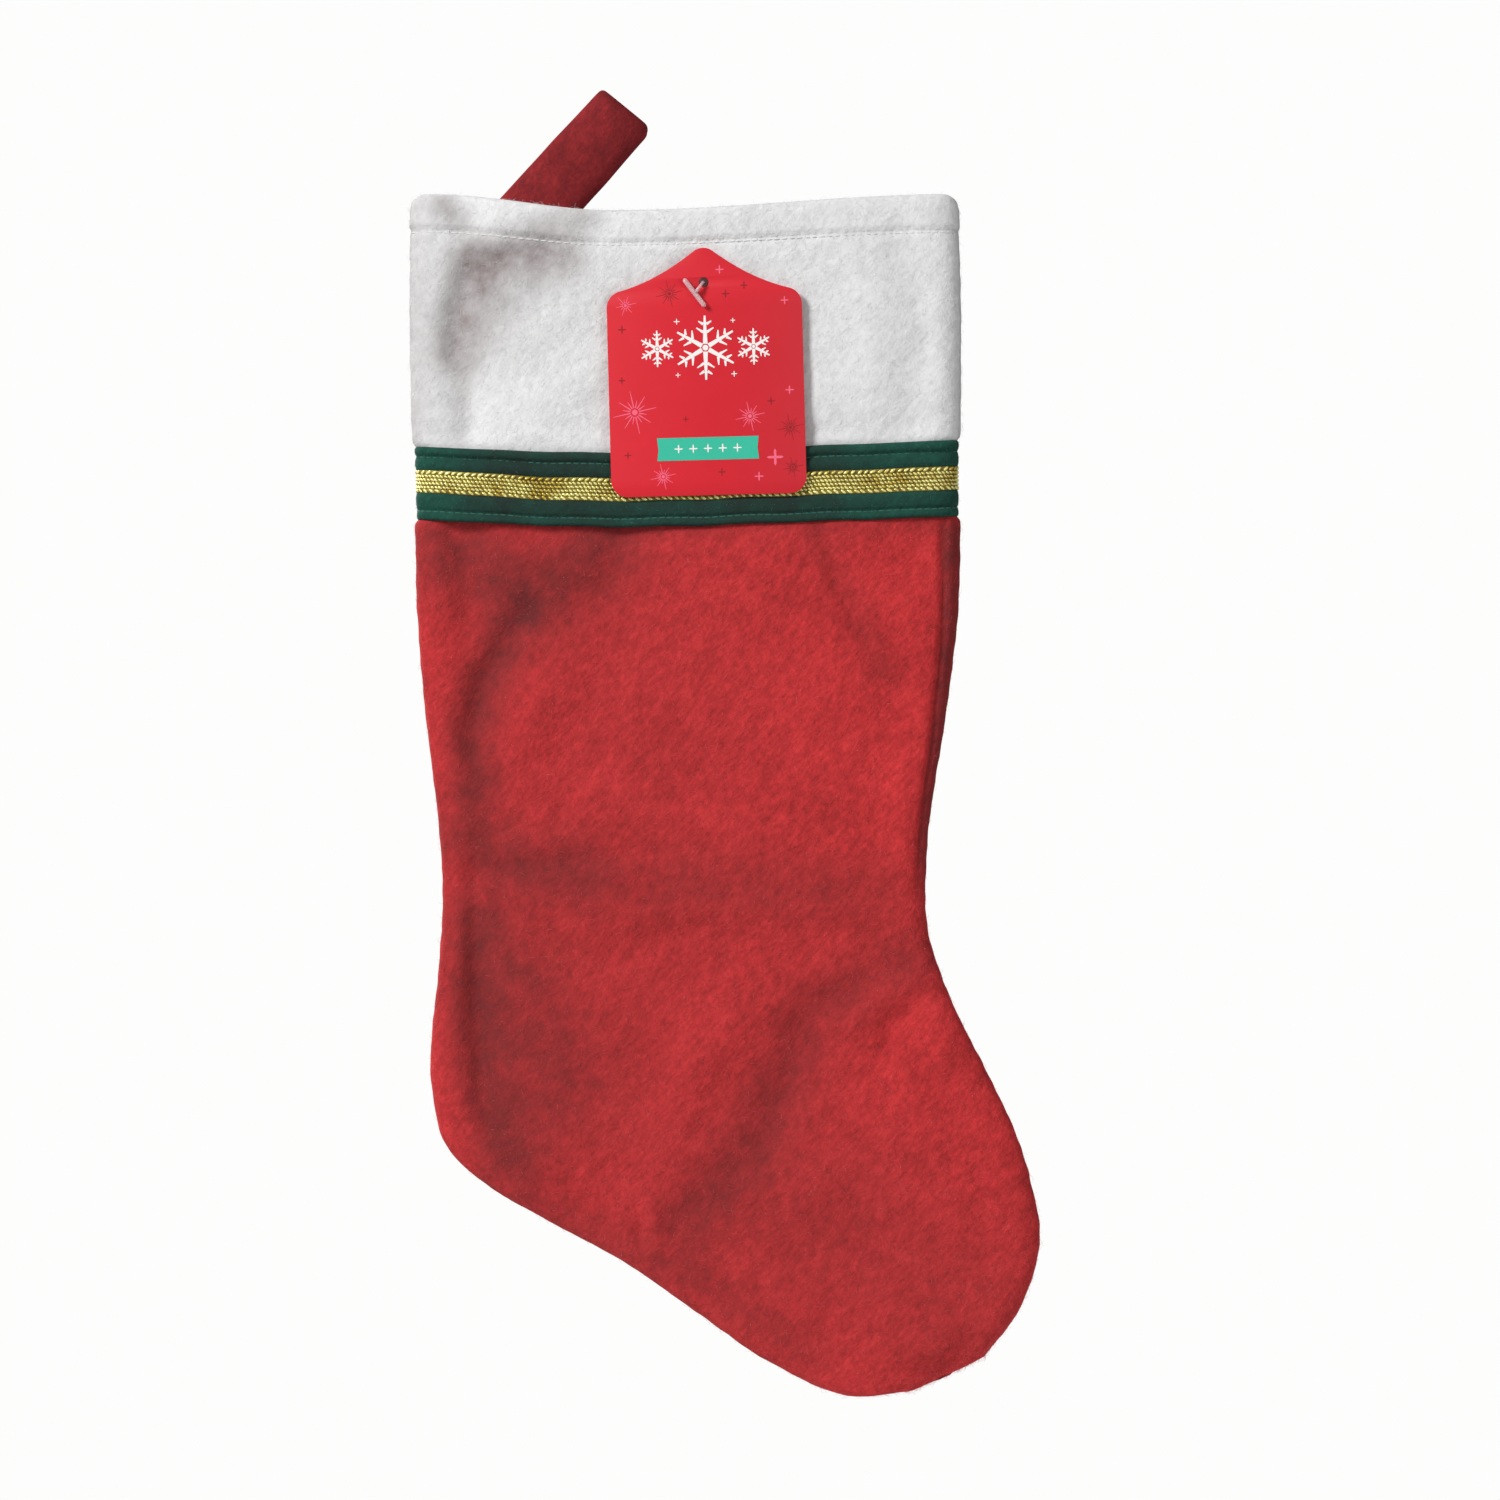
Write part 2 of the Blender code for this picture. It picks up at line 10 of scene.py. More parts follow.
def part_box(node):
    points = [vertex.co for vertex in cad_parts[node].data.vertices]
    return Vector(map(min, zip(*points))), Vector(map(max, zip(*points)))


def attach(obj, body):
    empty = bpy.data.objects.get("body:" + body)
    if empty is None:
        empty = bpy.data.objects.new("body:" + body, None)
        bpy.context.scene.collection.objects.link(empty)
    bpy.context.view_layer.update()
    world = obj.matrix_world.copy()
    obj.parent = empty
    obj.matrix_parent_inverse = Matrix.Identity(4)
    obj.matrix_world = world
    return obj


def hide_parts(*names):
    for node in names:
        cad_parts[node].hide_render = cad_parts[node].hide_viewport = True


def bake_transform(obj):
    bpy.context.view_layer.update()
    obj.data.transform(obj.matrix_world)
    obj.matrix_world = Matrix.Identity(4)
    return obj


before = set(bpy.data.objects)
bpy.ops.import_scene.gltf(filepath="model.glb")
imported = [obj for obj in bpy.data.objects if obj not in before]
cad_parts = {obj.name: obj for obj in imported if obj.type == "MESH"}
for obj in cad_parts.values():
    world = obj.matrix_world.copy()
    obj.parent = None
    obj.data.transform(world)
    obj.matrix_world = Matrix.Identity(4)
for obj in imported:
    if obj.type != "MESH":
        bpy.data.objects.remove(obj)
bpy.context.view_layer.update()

# The looks of a felt stocking that hangs on its loop. Metres, +Z up, the front faces -Y.
# Outlines and folds are in millimetres: x from the middle of the rim, depth below the rim.

MM = 0.001
CUFF_LOW, CUFF_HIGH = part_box("cuff_front")
TAG_LOW, TAG_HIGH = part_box("swing_tag")
RIM_X = (CUFF_LOW.x + CUFF_HIGH.x) / 2 - 0.3 * MM
RIM_Z = CUFF_HIGH.z
HALF_DEPTH = -CUFF_LOW.y
EDGE_WIDTH = 30 * MM
EDGE_ROUND = 3.5                    # 2 is an ellipse, more turns faster at the seam
FELT, BAND_FELT = 1.5 * MM, 0.9 * MM
ROWS_MM = [                         # (left x, depth), (right x, depth), rim to toe
    ((-102.5, 0), (102.5, 0)), ((-103, 40), (103.6, 40)), ((-102.5, 77), (103.6, 77)),
    ((-101.4, 107), (103.4, 107)), ((-100.8, 129), (103.4, 129)), ((-100, 159), (102.4, 159)),
    ((-97, 195), (98, 195)), ((-92.5, 232), (92.2, 232)), ((-90.6, 261), (90.4, 257)),
    ((-92, 289), (91, 274)), ((-94.7, 315), (94.7, 288)), ((-94.7, 334), (101.4, 305)),
    ((-89.4, 356), (110, 322)), ((-74, 371), (118, 338)), ((-51, 384.5), (124.7, 353)),
    ((-23.4, 399.5), (129.6, 369)), ((4.3, 418.5), (133.3, 389)), ((29.4, 436), (130.3, 406)),
    ((59, 449.6), (123.6, 421)), ((82.7, 448.5), (112.7, 434.6)),
]
LEVEL_ROWS = 5                      # below this row the foot's rows turn with the outline
TOE_BULGE = 0.8 * MM                # how far the toe's end rounds out past the last row
TOE_TURN = 1.565                    # almost a quarter turn, which closes the toe
FOOT_LENGTH = 0.30                  # from the level rows to the toe, for the rows' spacing
LEG_ACROSS, CUFF_ACROSS, BAND_ACROSS, BRAID_ACROSS = 0.212, 0.232, 0.216, 0.214
HEM = 13.7 * MM
CORNER_RADIUS = 4 * MM              # of the rim's two corners
RIM_DIP_FRONT, RIM_DIP_BACK = 6.4 * MM, 5.8 * MM
TRIM_TOP, TRIM_BOTTOM = 93.2 * MM, 121.2 * MM
BRAID_TOP, BRAID_BOTTOM = 102.2 * MM, 110.7 * MM
CUFF_BOTTOM, LEG_TOP = 106.5 * MM, 107.5 * MM
BAND_DRAW = 2.0 * MM                # how much less the band stands out at the sides
BAND_TUCK = 1.1 * MM                # how far the band squeezes the felt behind it
BAND_STITCHES = 3.75 * MM, TRIM_BOTTOM - TRIM_TOP - 3.75 * MM   # below the band's top
STITCH_PITCH = 2.9 * MM
BRAID_WALES = 6


# Materials --------------------

class Shader:
    """A small helper that adds and links nodes of one material."""

    def __init__(self, name):
        self.material = bpy.data.materials.new(name)
        self.material.use_nodes = True
        self.tree = self.material.node_tree
        self.surface = self.tree.nodes["Principled BSDF"]
        self.place = self.node("ShaderNodeTexCoord").outputs["Object"]

    def node(self, kind, inputs=None, **settings):
        made = self.tree.nodes.new(kind)
        for key, value in settings.items():
            setattr(made, key, value)
        for key, value in (inputs or {}).items():
            self.feed(made.inputs[key], value)
        return made

    def feed(self, socket, value):
        if isinstance(value, bpy.types.NodeSocket):
            self.tree.links.new(value, socket)
        else:
            socket.default_value = (*value, 1) if socket.type == "RGBA" else value

    def noise(self, scale, detail=2.0, roughness=0.5, stretch=None, turn=0.0, distortion=0.0):
        """Noise at a scale in features a metre, stretched and turned in the X-Z plane."""
        vector = self.place
        if stretch or turn:
            mapping = self.node("ShaderNodeMapping", {
                "Vector": self.place, "Rotation": (0, turn, 0),
                "Scale": stretch or (1, 1, 1)}, vector_type="TEXTURE")
            vector = mapping.outputs[0]
        texture = self.node("ShaderNodeTexNoise", {
            "Vector": vector, "Scale": scale, "Detail": detail, "Roughness": roughness,
            "Distortion": distortion})
        return texture.outputs["Fac"]

    def math(self, operation, *values):
        made = self.node("ShaderNodeMath", operation=operation)
        for socket, value in zip(made.inputs, values):
            self.feed(socket, value)
        return made.outputs[0]

    def scaled(self, value, factor, offset=0.0):
        return self.math("MULTIPLY_ADD", value, factor, offset)

    def ramp(self, factor, stops):
        made = self.node("ShaderNodeValToRGB", {"Fac": factor})
        band = made.color_ramp
        while len(band.elements) < len(stops):
            band.elements.new(0.5)
        for element, (place, colour) in zip(band.elements, stops):
            element.position = place
            element.color = (*colour, 1)
        return made.outputs["Color"]

    def mix(self, factor, first, second):
        made = self.node("ShaderNodeMix", data_type="RGBA")
        for index, value in ((0, factor), (6, first), (7, second)):
            self.feed(made.inputs[index], value)
        return made.outputs[2]

    def bump(self, height, distance, strength=1.0):
        made = self.node("ShaderNodeBump", {
            "Height": height, "Distance": distance, "Strength": strength})
        self.feed(self.surface.inputs["Normal"], made.outputs[0])

    def set(self, **values):
        for key, value in values.items():
            self.feed(self.surface.inputs[key.replace("_", " ")], value)


def felt_material(name, dark, middle, light, fibre=1.0, contrast=1.0, shade=None):
    """Brushed felt: short fibres matted into slanting tufts with small pits between them."""
    felt = Shader(name)
    tufts = felt.noise(720, 3, 0.62, (1, 1, 2.3), 0.75, 0.5)
    cross = felt.noise(800, 3, 0.62, (1, 1, 2.6), -0.5, 0.5)
    fine = felt.noise(2300, 2, 0.6)
    clumps = felt.noise(230, 3, 0.55, (1, 1, 1.6), 0.6)
    blotch = felt.noise(34, 3, 0.55)
    matted = felt.scaled(fine, 0.2, felt.scaled(tufts, 0.5, felt.scaled(cross, 0.3)))
    height = felt.scaled(clumps, 0.7, matted)
    tone = felt.scaled(clumps, 0.35, felt.scaled(matted, 0.85))
    tone = felt.scaled(blotch, 0.25, tone)
    centre, spread = 0.725, 0.17 / contrast
    colour = felt.ramp(tone, [(centre - spread, dark), (centre, middle),
                              (centre + spread, light)])
    # The shade attribute darkens the felt towards its shade colour: painted shade, and on the cuff
    # the red strap showing through.
    if shade:
        amount = felt.node("ShaderNodeAttribute", attribute_name="shade").outputs["Fac"]
        patchy = felt.scaled(felt.noise(130, 4, 0.65), 1.2, 0.4)
        amount = felt.math("MINIMUM", felt.scaled(amount, patchy), 0.95)
        colour = felt.mix(amount, colour, shade)
    felt.set(Base_Color=colour, Roughness=0.95, Specular_IOR_Level=0.2,
             Sheen_Weight=0.12, Sheen_Roughness=0.6, Sheen_Tint=light)
    felt.bump(height, 1.0 * MM * fibre, 0.9)
    return felt.material


def fibre_material(name, colour):
    """Loose fibres and threads: faint streaks along a matt thread."""
    thread = Shader(name)
    streak = thread.noise(2600, 2, 0.6)
    tone = thread.mix(streak, [c * 0.65 for c in colour], colour)
    thread.set(Base_Color=tone, Roughness=0.8, Specular_IOR_Level=0.25,
               Sheen_Weight=0.3, Sheen_Roughness=0.5)
    thread.bump(streak, 0.06 * MM, 0.6)
    return thread.material


def braid_material(name, dark, light, roughness):
    """Metallic plastic-wrapped yarn: foil glints that change from stitch to stitch."""
    braid = Shader(name)
    stitch = braid.noise(620, 2, 0.6)
    stretch = braid.noise(85, 2, 0.5)
    foil = braid.noise(2400, 2, 0.5)
    tone = braid.scaled(stretch, 0.9, braid.scaled(stitch, 0.6))
    colour = braid.ramp(tone, [(0.58, dark), (0.82, light)])
    braid.set(Base_Color=colour, Metallic=0.42, Roughness=braid.scaled(foil, 0.25, roughness),
              Specular_IOR_Level=0.7)
    braid.bump(foil, 0.12 * MM, 0.7)
    return braid.material


def card_material(name, colour, deep):
    """Printed satin card: fine tooth and a faint mottle."""
    card = Shader(name)
    mottle = card.noise(70, 3, 0.6)
    tooth = card.noise(3200, 2, 0.6)
    tone = card.mix(mottle, deep, colour)
    card.set(Base_Color=tone, Roughness=card.scaled(tooth, 0.2, 0.34),
             Specular_IOR_Level=0.35)
    card.bump(tooth, 0.03 * MM, 0.5)
    return card.material


def plastic_material(name):
    """Clear nylon, a little cloudy and rippled, tinted pink as painted colour of the red card seen
    through it.
    """
    plastic = Shader(name)
    cloud = plastic.noise(900, 3, 0.6)
    # The pink is painted colour of the red card seen through the nylon.
    colour = plastic.mix(cloud, (0.90, 0.55, 0.58), (0.98, 0.76, 0.78))
    plastic.set(Base_Color=colour, Roughness=plastic.scaled(cloud, 0.2, 0.18),
                Transmission_Weight=0.5, IOR=1.45, Specular_IOR_Level=0.6)
    plastic.bump(cloud, 0.05 * MM, 0.6)
    return plastic.material


def floor_material():
    floor = Shader("floor_paint")
    mottle = floor.noise(14, 3, 0.5)
    tone = floor.mix(mottle, (0.80, 0.80, 0.79), (0.86, 0.86, 0.85))
    floor.set(Base_Color=tone, Roughness=0.85)
    return floor.material


# Each felt's shade colour is what its painted shade darkens to.
RED_FELT = felt_material("red_felt", (0.325, 0.020, 0.022), (0.505, 0.030, 0.033),
                         (0.69, 0.045, 0.049), 0.9, shade=(0.13, 0.020, 0.021))
WHITE_FELT = felt_material("white_felt", (0.57, 0.57, 0.575), (0.70, 0.70, 0.70),
                           (0.80, 0.80, 0.80), 0.55, 0.8, shade=(0.20, 0.155, 0.155))
GREEN_FELT = felt_material("green_felt", (0.007, 0.049, 0.034), (0.010, 0.079, 0.055),
                           (0.016, 0.117, 0.083), 0.4, shade=(0.015, 0.026, 0.022))
STRAP_FELT = felt_material("strap_felt", (0.13, 0.013, 0.015), (0.215, 0.017, 0.020),
                           (0.31, 0.024, 0.028), 0.4)
RED_FIBRE = fibre_material("red_fibre", (0.80, 0.050, 0.065))
WHITE_FIBRE = fibre_material("white_fibre", (0.93, 0.93, 0.93))
GREEN_FIBRE = fibre_material("green_fibre", (0.020, 0.150, 0.110))
WHITE_THREAD = fibre_material("white_thread", (0.77, 0.77, 0.76))
GREEN_THREAD = fibre_material("green_thread", (0.022, 0.140, 0.100))
RED_THREAD = fibre_material("red_thread", (0.30, 0.012, 0.018))
GOLD_YARN = braid_material("gold_yarn", (0.60, 0.42, 0.03), (1.0, 0.95, 0.36), 0.22)
# The backing's dark gold is painted shade, seen in the gaps between the yarn's stitches.
GOLD_BACKING_PAINTED_SHADE = braid_material("gold_backing_painted_shade", (0.10, 0.07, 0.008), (0.26, 0.19, 0.02), 0.4)
RED_CARD = card_material("red_card", (0.66, 0.016, 0.030), (0.60, 0.013, 0.024))
PINK_PRINT = card_material("pink_print", (0.90, 0.15, 0.24), (0.84, 0.12, 0.20))
DARK_PRINT = card_material("dark_print", (0.31, 0.015, 0.020), (0.27, 0.012, 0.016))
WHITE_PRINT = card_material("white_print", (0.90, 0.87, 0.85), (0.84, 0.80, 0.78))
MINT_PRINT = card_material("mint_print", (0.045, 0.52, 0.35), (0.035, 0.46, 0.31))
CLEAR_PLASTIC = plastic_material("clear_plastic")


# Mesh helpers --------------------

def add_object(name, data):
    obj = bpy.data.objects.new(name, data)
    bpy.context.scene.collection.objects.link(obj)
    return obj


def add_mesh(name, points, faces, material, body=None, slot=None, replaces=()):
    mesh = bpy.data.meshes.new(name)
    mesh.from_pydata([tuple(point) for point in points], [], faces)
    mesh.materials.append(material)
    mesh.shade_smooth()
    obj = add_object(name, mesh)
    if body:
        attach(obj, body)
    if replaces:
        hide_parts(*replaces)
    return obj


def grid_faces(rows, columns, flip=False):
    first = np.arange((rows - 1) * columns).reshape(-1, columns)[:, :-1].ravel()
    faces = np.stack([first, first + 1, first + columns + 1, first + columns], axis=1)
    return (faces[:, ::-1] if flip else faces).tolist()


def thicken(obj, thickness, offset=-1, bevel=0.0):
    """Gives a sheet its thickness, inwards or both ways, and rounds its edges."""
    solidify = obj.modifiers.new("thickness", "SOLIDIFY")
    solidify.thickness = thickness
    solidify.offset = offset
    if bevel:
        rounded = obj.modifiers.new("soft_edge", "BEVEL")
        rounded.width = bevel
        rounded.segments = 2
        rounded.limit_method = "ANGLE"
        rounded.angle_limit = math.radians(60)


def evaluated_mesh(obj):
    """The object's mesh with its modifiers, or its curve's bevel, worked in."""
    bpy.context.view_layer.update()
    graph = bpy.context.evaluated_depsgraph_get()
    return bpy.data.meshes.new_from_object(obj.evaluated_get(graph))


def unit_ball(rings, sides):
    """Points and faces, sorted as Blender's order varies, of a small ball, poles along X."""
    bm = bmesh.new()
    bmesh.ops.create_uvsphere(bm, u_segments=sides, v_segments=rings, radius=1,
                              matrix=Matrix.Rotation(math.pi / 2, 4, "Y"))
    bm.verts.index_update()
    points = np.array([vert.co for vert in bm.verts])
    faces = sorted([vert.index for vert in face.verts] for face in bm.faces)
    bm.free()
    return points, faces


def joined(parts):
    """The points and faces of several meshes as those of one."""
    points, faces = [], []
    for part_points, part_faces in parts:
        faces.extend([len(points) + corner for corner in face] for face in part_faces)
        points.extend(part_points)
    return points, faces


def scatter_shape(name, shape, places, material, **binding):
    """One mesh of many copies; a place is (centre, along, outward, sizes)."""
    base, faces = shape
    parts = []
    for centre, along, outward, sizes in places:
        along = unit(along)
        outward = unit(outward - along * np.dot(outward, along))
        basis = np.stack([along * sizes[0], np.cross(outward, along) * sizes[1],
                          outward * sizes[2]])
        parts.append((base @ basis + centre, faces))
    return add_mesh(name, *joined(parts), material, **binding)


def noise_at(points, scale, seed):
    """Smooth noise from -1 to 1 at each point, with features 1/scale across."""
    offset = Vector((seed * 7.3, seed * 3.1, seed * 1.7))
    flat = points.reshape(-1, 3)
    values = [noise.noise(Vector(point) * scale + offset) for point in flat]
    return np.array(values).reshape(points.shape[:-1])


def unit(vector):
    return vector / np.linalg.norm(vector)


def run_lengths(points):
    """How far along a row of points each point is."""
    return np.concatenate([[0], np.cumsum(np.linalg.norm(np.diff(points, axis=0), axis=1))])


def value_at(distance, lengths, values):
    """A row of vectors, read at a distance along its points."""
    return np.array([np.interp(distance, lengths, values[:, axis]) for axis in range(3)])


def smooth_step(values):
    held = np.clip(values, 0, 1)
    return held * held * (3 - 2 * held)


# The body's surface --------------------

def catmull(a, b, c, d, t):
    return 0.5 * (2 * b + (c - a) * t + (2 * a - 5 * b + 4 * c - d) * t ** 2
                  + (3 * b - a - 3 * c + d) * t ** 3)


def row_at(place):
    """The outline's left and right points at a fractional row number."""
    rows = np.array(ROWS_MM, float)
    index = min(int(place), len(rows) - 2)
    picks = [min(max(index + step, 0), len(rows) - 1) for step in (-1, 0, 1, 2)]
    ends = catmull(*(rows[pick] for pick in picks), place - index) * MM
    return [np.array((RIM_X + x, 0, RIM_Z - depth)) for x, depth in ends]


def place_of_depth(depth):
    for index in range(len(ROWS_MM) - 1):
        top, bottom = ROWS_MM[index][0][1] * MM, ROWS_MM[index + 1][0][1] * MM
        if depth <= bottom:
            return index + (depth - top) / (bottom - top)
    raise ValueError("depth is below the toe")


def band_shift(x, depth):
    """How far the bands, and the felt beside them, hang below their stated depth."""
    beyond = max(TRIM_TOP - depth, depth - TRIM_BOTTOM, 0)
    level = min(max((depth - TRIM_TOP) / (TRIM_BOTTOM - TRIM_TOP), 0), 1)
    across = (x - RIM_X) / (103 * MM)
    sag = 2.9 + 0.8 * np.sin(across * 3 + 2.8) + 0.2 * np.sin(across * 21)
    shift = sag * np.clip(1 - across ** 2, 0, None) - (1.25 - 0.6 * level) * across
    shift += smooth_step((across + 0.9) / 0.5) * 3 * level * (1 - level)
    return shift * MM * max(0, 1 - beyond / (25 * MM))


def rim_shift(x, y, depth):
    """How far the free rim has sagged, most at a third of the way from the left seam."""
    across = (x - RIM_X) / (206 * MM) + 0.5
    sag = smooth_step((across - 0.04) / 0.33) * smooth_step((1 - across) / 0.63)
    dip = np.where(y < 0, RIM_DIP_FRONT, RIM_DIP_BACK)
    near = np.clip(np.abs(y) / (0.5 * HALF_DEPTH), 0, 1)
    return dip * sag * near * max(0, 1 - depth / (60 * MM))


def half_section(left, right, side_grow, face_grow, sign, columns):
    """Evenly spaced points from the left seam across one face to the right seam."""
    middle, span = (left + right) / 2, right - left
    half_width = np.linalg.norm(span) / 2
    along = span / (2 * half_width)
    edge = min(EDGE_WIDTH, 0.8 * half_width)
    puff = HALF_DEPTH * math.sqrt(edge / EDGE_WIDTH) + face_grow
    straight = half_width - edge
    edge += side_grow
    angle = np.linspace(0, math.pi / 2, 48)
    reach = straight + edge * np.cos(angle) ** (2 / EDGE_ROUND)
    rise = puff * np.sin(angle) ** (2 / EDGE_ROUND)
    across, away = np.concatenate([-reach, reach[::-1]]), np.concatenate([rise, rise[::-1]])
    lengths = run_lengths(np.stack([across, away], axis=1))
    wanted = np.linspace(0, lengths[-1], columns)
    across, away = np.interp(wanted, lengths, across), np.interp(wanted, lengths, away)
    points = middle + across[:, None] * along
    points[:, 1] += sign * away
    return points, np.minimum(wanted, lengths[-1] - wanted)


def level_row(depth, side_grow, face_grow, sign, columns, lift=0.0):
    """One row across the body above the ankle, with the rim's dip and the bands' sag."""
    left, right = row_at(place_of_depth(depth))
    left[2] = right[2] = RIM_Z - depth
    points, edge = half_section(left, right, side_grow, face_grow, sign, columns)
    points[:, 2] += lift - band_shift(points[:, 0], depth)
    points[:, 2] -= rim_shift(points[:, 0], points[:, 1], depth)
    inset = np.minimum(points[:, 0] - points[0, 0], points[-1, 0] - points[:, 0])
    corner = np.clip(1 - inset / CORNER_RADIUS, 0, 1)
    points[:, 2] -= CORNER_RADIUS * (1 - np.sqrt(1 - corner ** 2)) * max(0, 1 - depth / HEM)
    return points, edge


def normals_of(grid, sign):
    """Unit normals of a grid of points, facing out of the body."""
    down, across = np.gradient(grid, axis=0), np.gradient(grid, axis=1)
    normal = np.cross(across, down)
    normal /= np.maximum(np.linalg.norm(normal, axis=2, keepdims=True), 1e-12)
    if np.mean(normal[:, :, 1]) * sign < 0:
        normal = -normal
    return normal


def places_on(grid):
    """Each point's x from the middle of the rim and its depth below it, in mm."""
    return (grid[:, :, 0] - RIM_X) / MM, (RIM_Z - grid[:, :, 2]) / MM


# Folds of the felt: (points, width, height), a minus height is a valley.
LEG_FRONT_FOLDS = [
    ([(-60, 156), (-74, 182), (-80, 202), (-78, 220)], 6.0, -3.6),
    ([(-36, 168), (-56, 194), (-66, 218)], 11.0, 2.6),
    ([(-80, 244), (-79, 285), (-77, 317), (-74, 350)], 5.2, -3.6),
    ([(-100, 124), (-60, 127), (-20, 126), (30, 125)], 5.5, -2.0),
    ([(-22, 122), (-26, 140), (-40, 158)], 7.0, -1.8),
    ([(-88, 122), (-80, 150), (-84, 168)], 6.0, -1.6),
    ([(51, 126), (60, 150), (72, 176)], 4.0, -1.9),
    ([(60, 124), (82, 150), (90, 180)], 8.0, 1.5),
    ([(-84, 256), (-50, 250), (-10, 246)], 5.0, -1.6),
    ([(-40, 274), (-5, 266), (40, 268), (80, 270)], 6.0, 1.3),
    ([(-30, 284), (5, 276), (30, 284)], 4.0, -1.0),
    ([(92, 284), (68, 293), (48, 306), (40, 328), (30, 354), (14, 368), (-2, 388)], 9.0, -2.9),
    ([(92, 300), (78, 311), (73, 328)], 4.5, -2.0),
    ([(90, 292), (70, 303), (58, 316)], 5.0, 1.5),
    ([(46, 300), (22, 309), (2, 330), (-7, 350), (-13, 382)], 9.5, 2.3),
    ([(104, 300), (98, 322)], 7.0, 0.8),
    ([(-17, 378), (-17, 396)], 1.8, -1.3),
    ([(-12, 376), (-11, 396)], 2.6, 1.1),
    ([(-76, 300), (-40, 318), (-20, 350)], 9.0, -1.0),
    ([(66, 350), (50, 372), (20, 400)], 8.0, 0.9),
    ([(60, 392), (88, 402), (112, 398)], 9.0, -0.8),
    ([(70, 436), (95, 428), (118, 410)], 5.0, 1.2),
]
LEG_BACK_FOLDS = [
    ([(60, 150), (74, 190), (80, 230)], 6.0, -2.6),
    ([(-60, 128), (0, 131), (60, 127)], 6.0, -1.8),
    ([(-50, 140), (-64, 175), (-74, 210)], 6.0, -1.8),
    ([(20, 170), (0, 200), (-30, 222)], 9.0, 1.4),
    ([(-84, 262), (-40, 256), (20, 262), (70, 266)], 6.0, -1.5),
    ([(88, 285), (58, 300), (34, 324), (10, 356)], 7.0, -2.6),
    ([(40, 296), (6, 326), (-10, 372)], 8.0, 1.9),
    ([(92, 306), (66, 326), (40, 344)], 5.0, -1.4),
    ([(-70, 300), (-40, 330), (-20, 366)], 8.0, -1.2),
    ([(90, 366), (70, 392), (40, 416)], 8.0, 1.0),
]
CUFF_FRONT_FOLDS = [
    ([(-46, 24), (-64, 22), (-78, 30)], 5.5, -1.9),
    ([(-78, 28), (-86, 46), (-86, 66)], 5.5, -2.3),
    ([(-30, 34), (-52, 48), (-66, 62)], 9.0, 1.2),
    ([(-82, 72), (-80, 88), (-82, 96)], 4.0, -1.2),
    ([(-34, 18), (-30, 12), (-24, 3)], 6.0, -1.0),
    ([(66, 20), (74, 50), (70, 84)], 9.0, 0.9),
    ([(88, 24), (90, 56), (86, 90)], 5.0, -0.9),
    ([(-60, 86), (-20, 90), (40, 89), (90, 86)], 4.0, -0.9),
    ([(-20, 62), (-30, 78), (-26, 90)], 7.0, -0.8),
]
CUFF_BACK_FOLDS = [
    ([(50, 24), (66, 22), (80, 34)], 6.0, -1.4),
    ([(-70, 30), (-76, 56), (-72, 86)], 7.0, -1.1),
    ([(-20, 30), (-6, 56), (-14, 84)], 10.0, 1.0),
    ([(-60, 87), (0, 90), (70, 87)], 4.0, -0.9),
]


# Darker areas: (points, width, strength). The red strap shows through the white cuff;
# the rest is painted shade, in folds, under the band and where the felt turns from the light.
# Cuff: the red strap showing through the felt, with painted shade in its dent, in small valleys
# and along the left seam.
CUFF_SHOW_THROUGH_AND_PAINTED_SHADE = [
    ([(-45, 25), (-62, 22), (-78, 26)], 8.5, 0.66), ([(-78, 28), (-83, 44), (-85, 59)], 10, 0.68),
    ([(-77, 27), (-74, 33)], 5, 0.5), ([(-54, 17), (-40, 9)], 8, 0.38),
    ([(-90, 4), (-85, 10)], 6, 0.42), ([(-83, 70), (-84, 92)], 6, 0.24),
    ([(-60, 34), (-72, 50)], 12, 0.30), ([(-103, 2), (-102, 92)], 9, 0.30),
]
# Band: painted shade across the middle, less to the right and none at the lit left end.
BAND_PAINTED_SHADE = [([(-66, 108), (34, 108)], 26, 0.9), ([(34, 108), (100, 108)], 20, 0.45)]
# Leg: painted shade in folds and valleys, under the band, at the heel and across the left and
# middle.
LEG_PAINTED_SHADE = [
    ([(-88, 132), (-56, 150), (-30, 130)], 18, 0.64),
    ([(-62, 158), (-75, 183), (-80, 203), (-78, 220)], 9.5, 0.72),
    ([(-80, 240), (-62, 251), (-38, 255)], 14, 0.62), ([(-4, 258), (70, 262)], 14, 0.30),
    ([(-78, 272), (-76, 320), (-66, 360)], 13, 0.68), ([(-60, 296), (-46, 336)], 21, 0.48),
    ([(84, 287), (48, 306), (39, 330), (28, 356), (2, 384)], 13, 0.44),
    ([(-64, 374), (0, 404), (50, 436)], 8, 0.26), ([(-20, 121), (92, 121)], 7, 0.30),
    ([(56, 384), (104, 418)], 40, 0.30), ([(-40, 150), (-10, 400)], 66, 0.22),
    ([(50, 128), (74, 178)], 6, 0.24),
]


def add_painted_shade_and_show_through(obj, grid, strokes, where=True, start=0.0):
    """Stores how much each point of a felt sheet takes its darker colour: painted shade, and on
    the cuff the red strap showing through.
    """
    x, depth = places_on(grid)
    shade = np.zeros(x.shape) + start
    for path, width, strength in strokes:
        distance, _ = along_path(x, depth, path)
        shade = 1 - (1 - shade) * (1 - strength * np.exp(-(distance / width) ** 2))
    attribute = obj.data.attributes.new("shade", "FLOAT", "POINT")
    attribute.data.foreach_set("value", (shade * where).astype(np.float32).ravel())


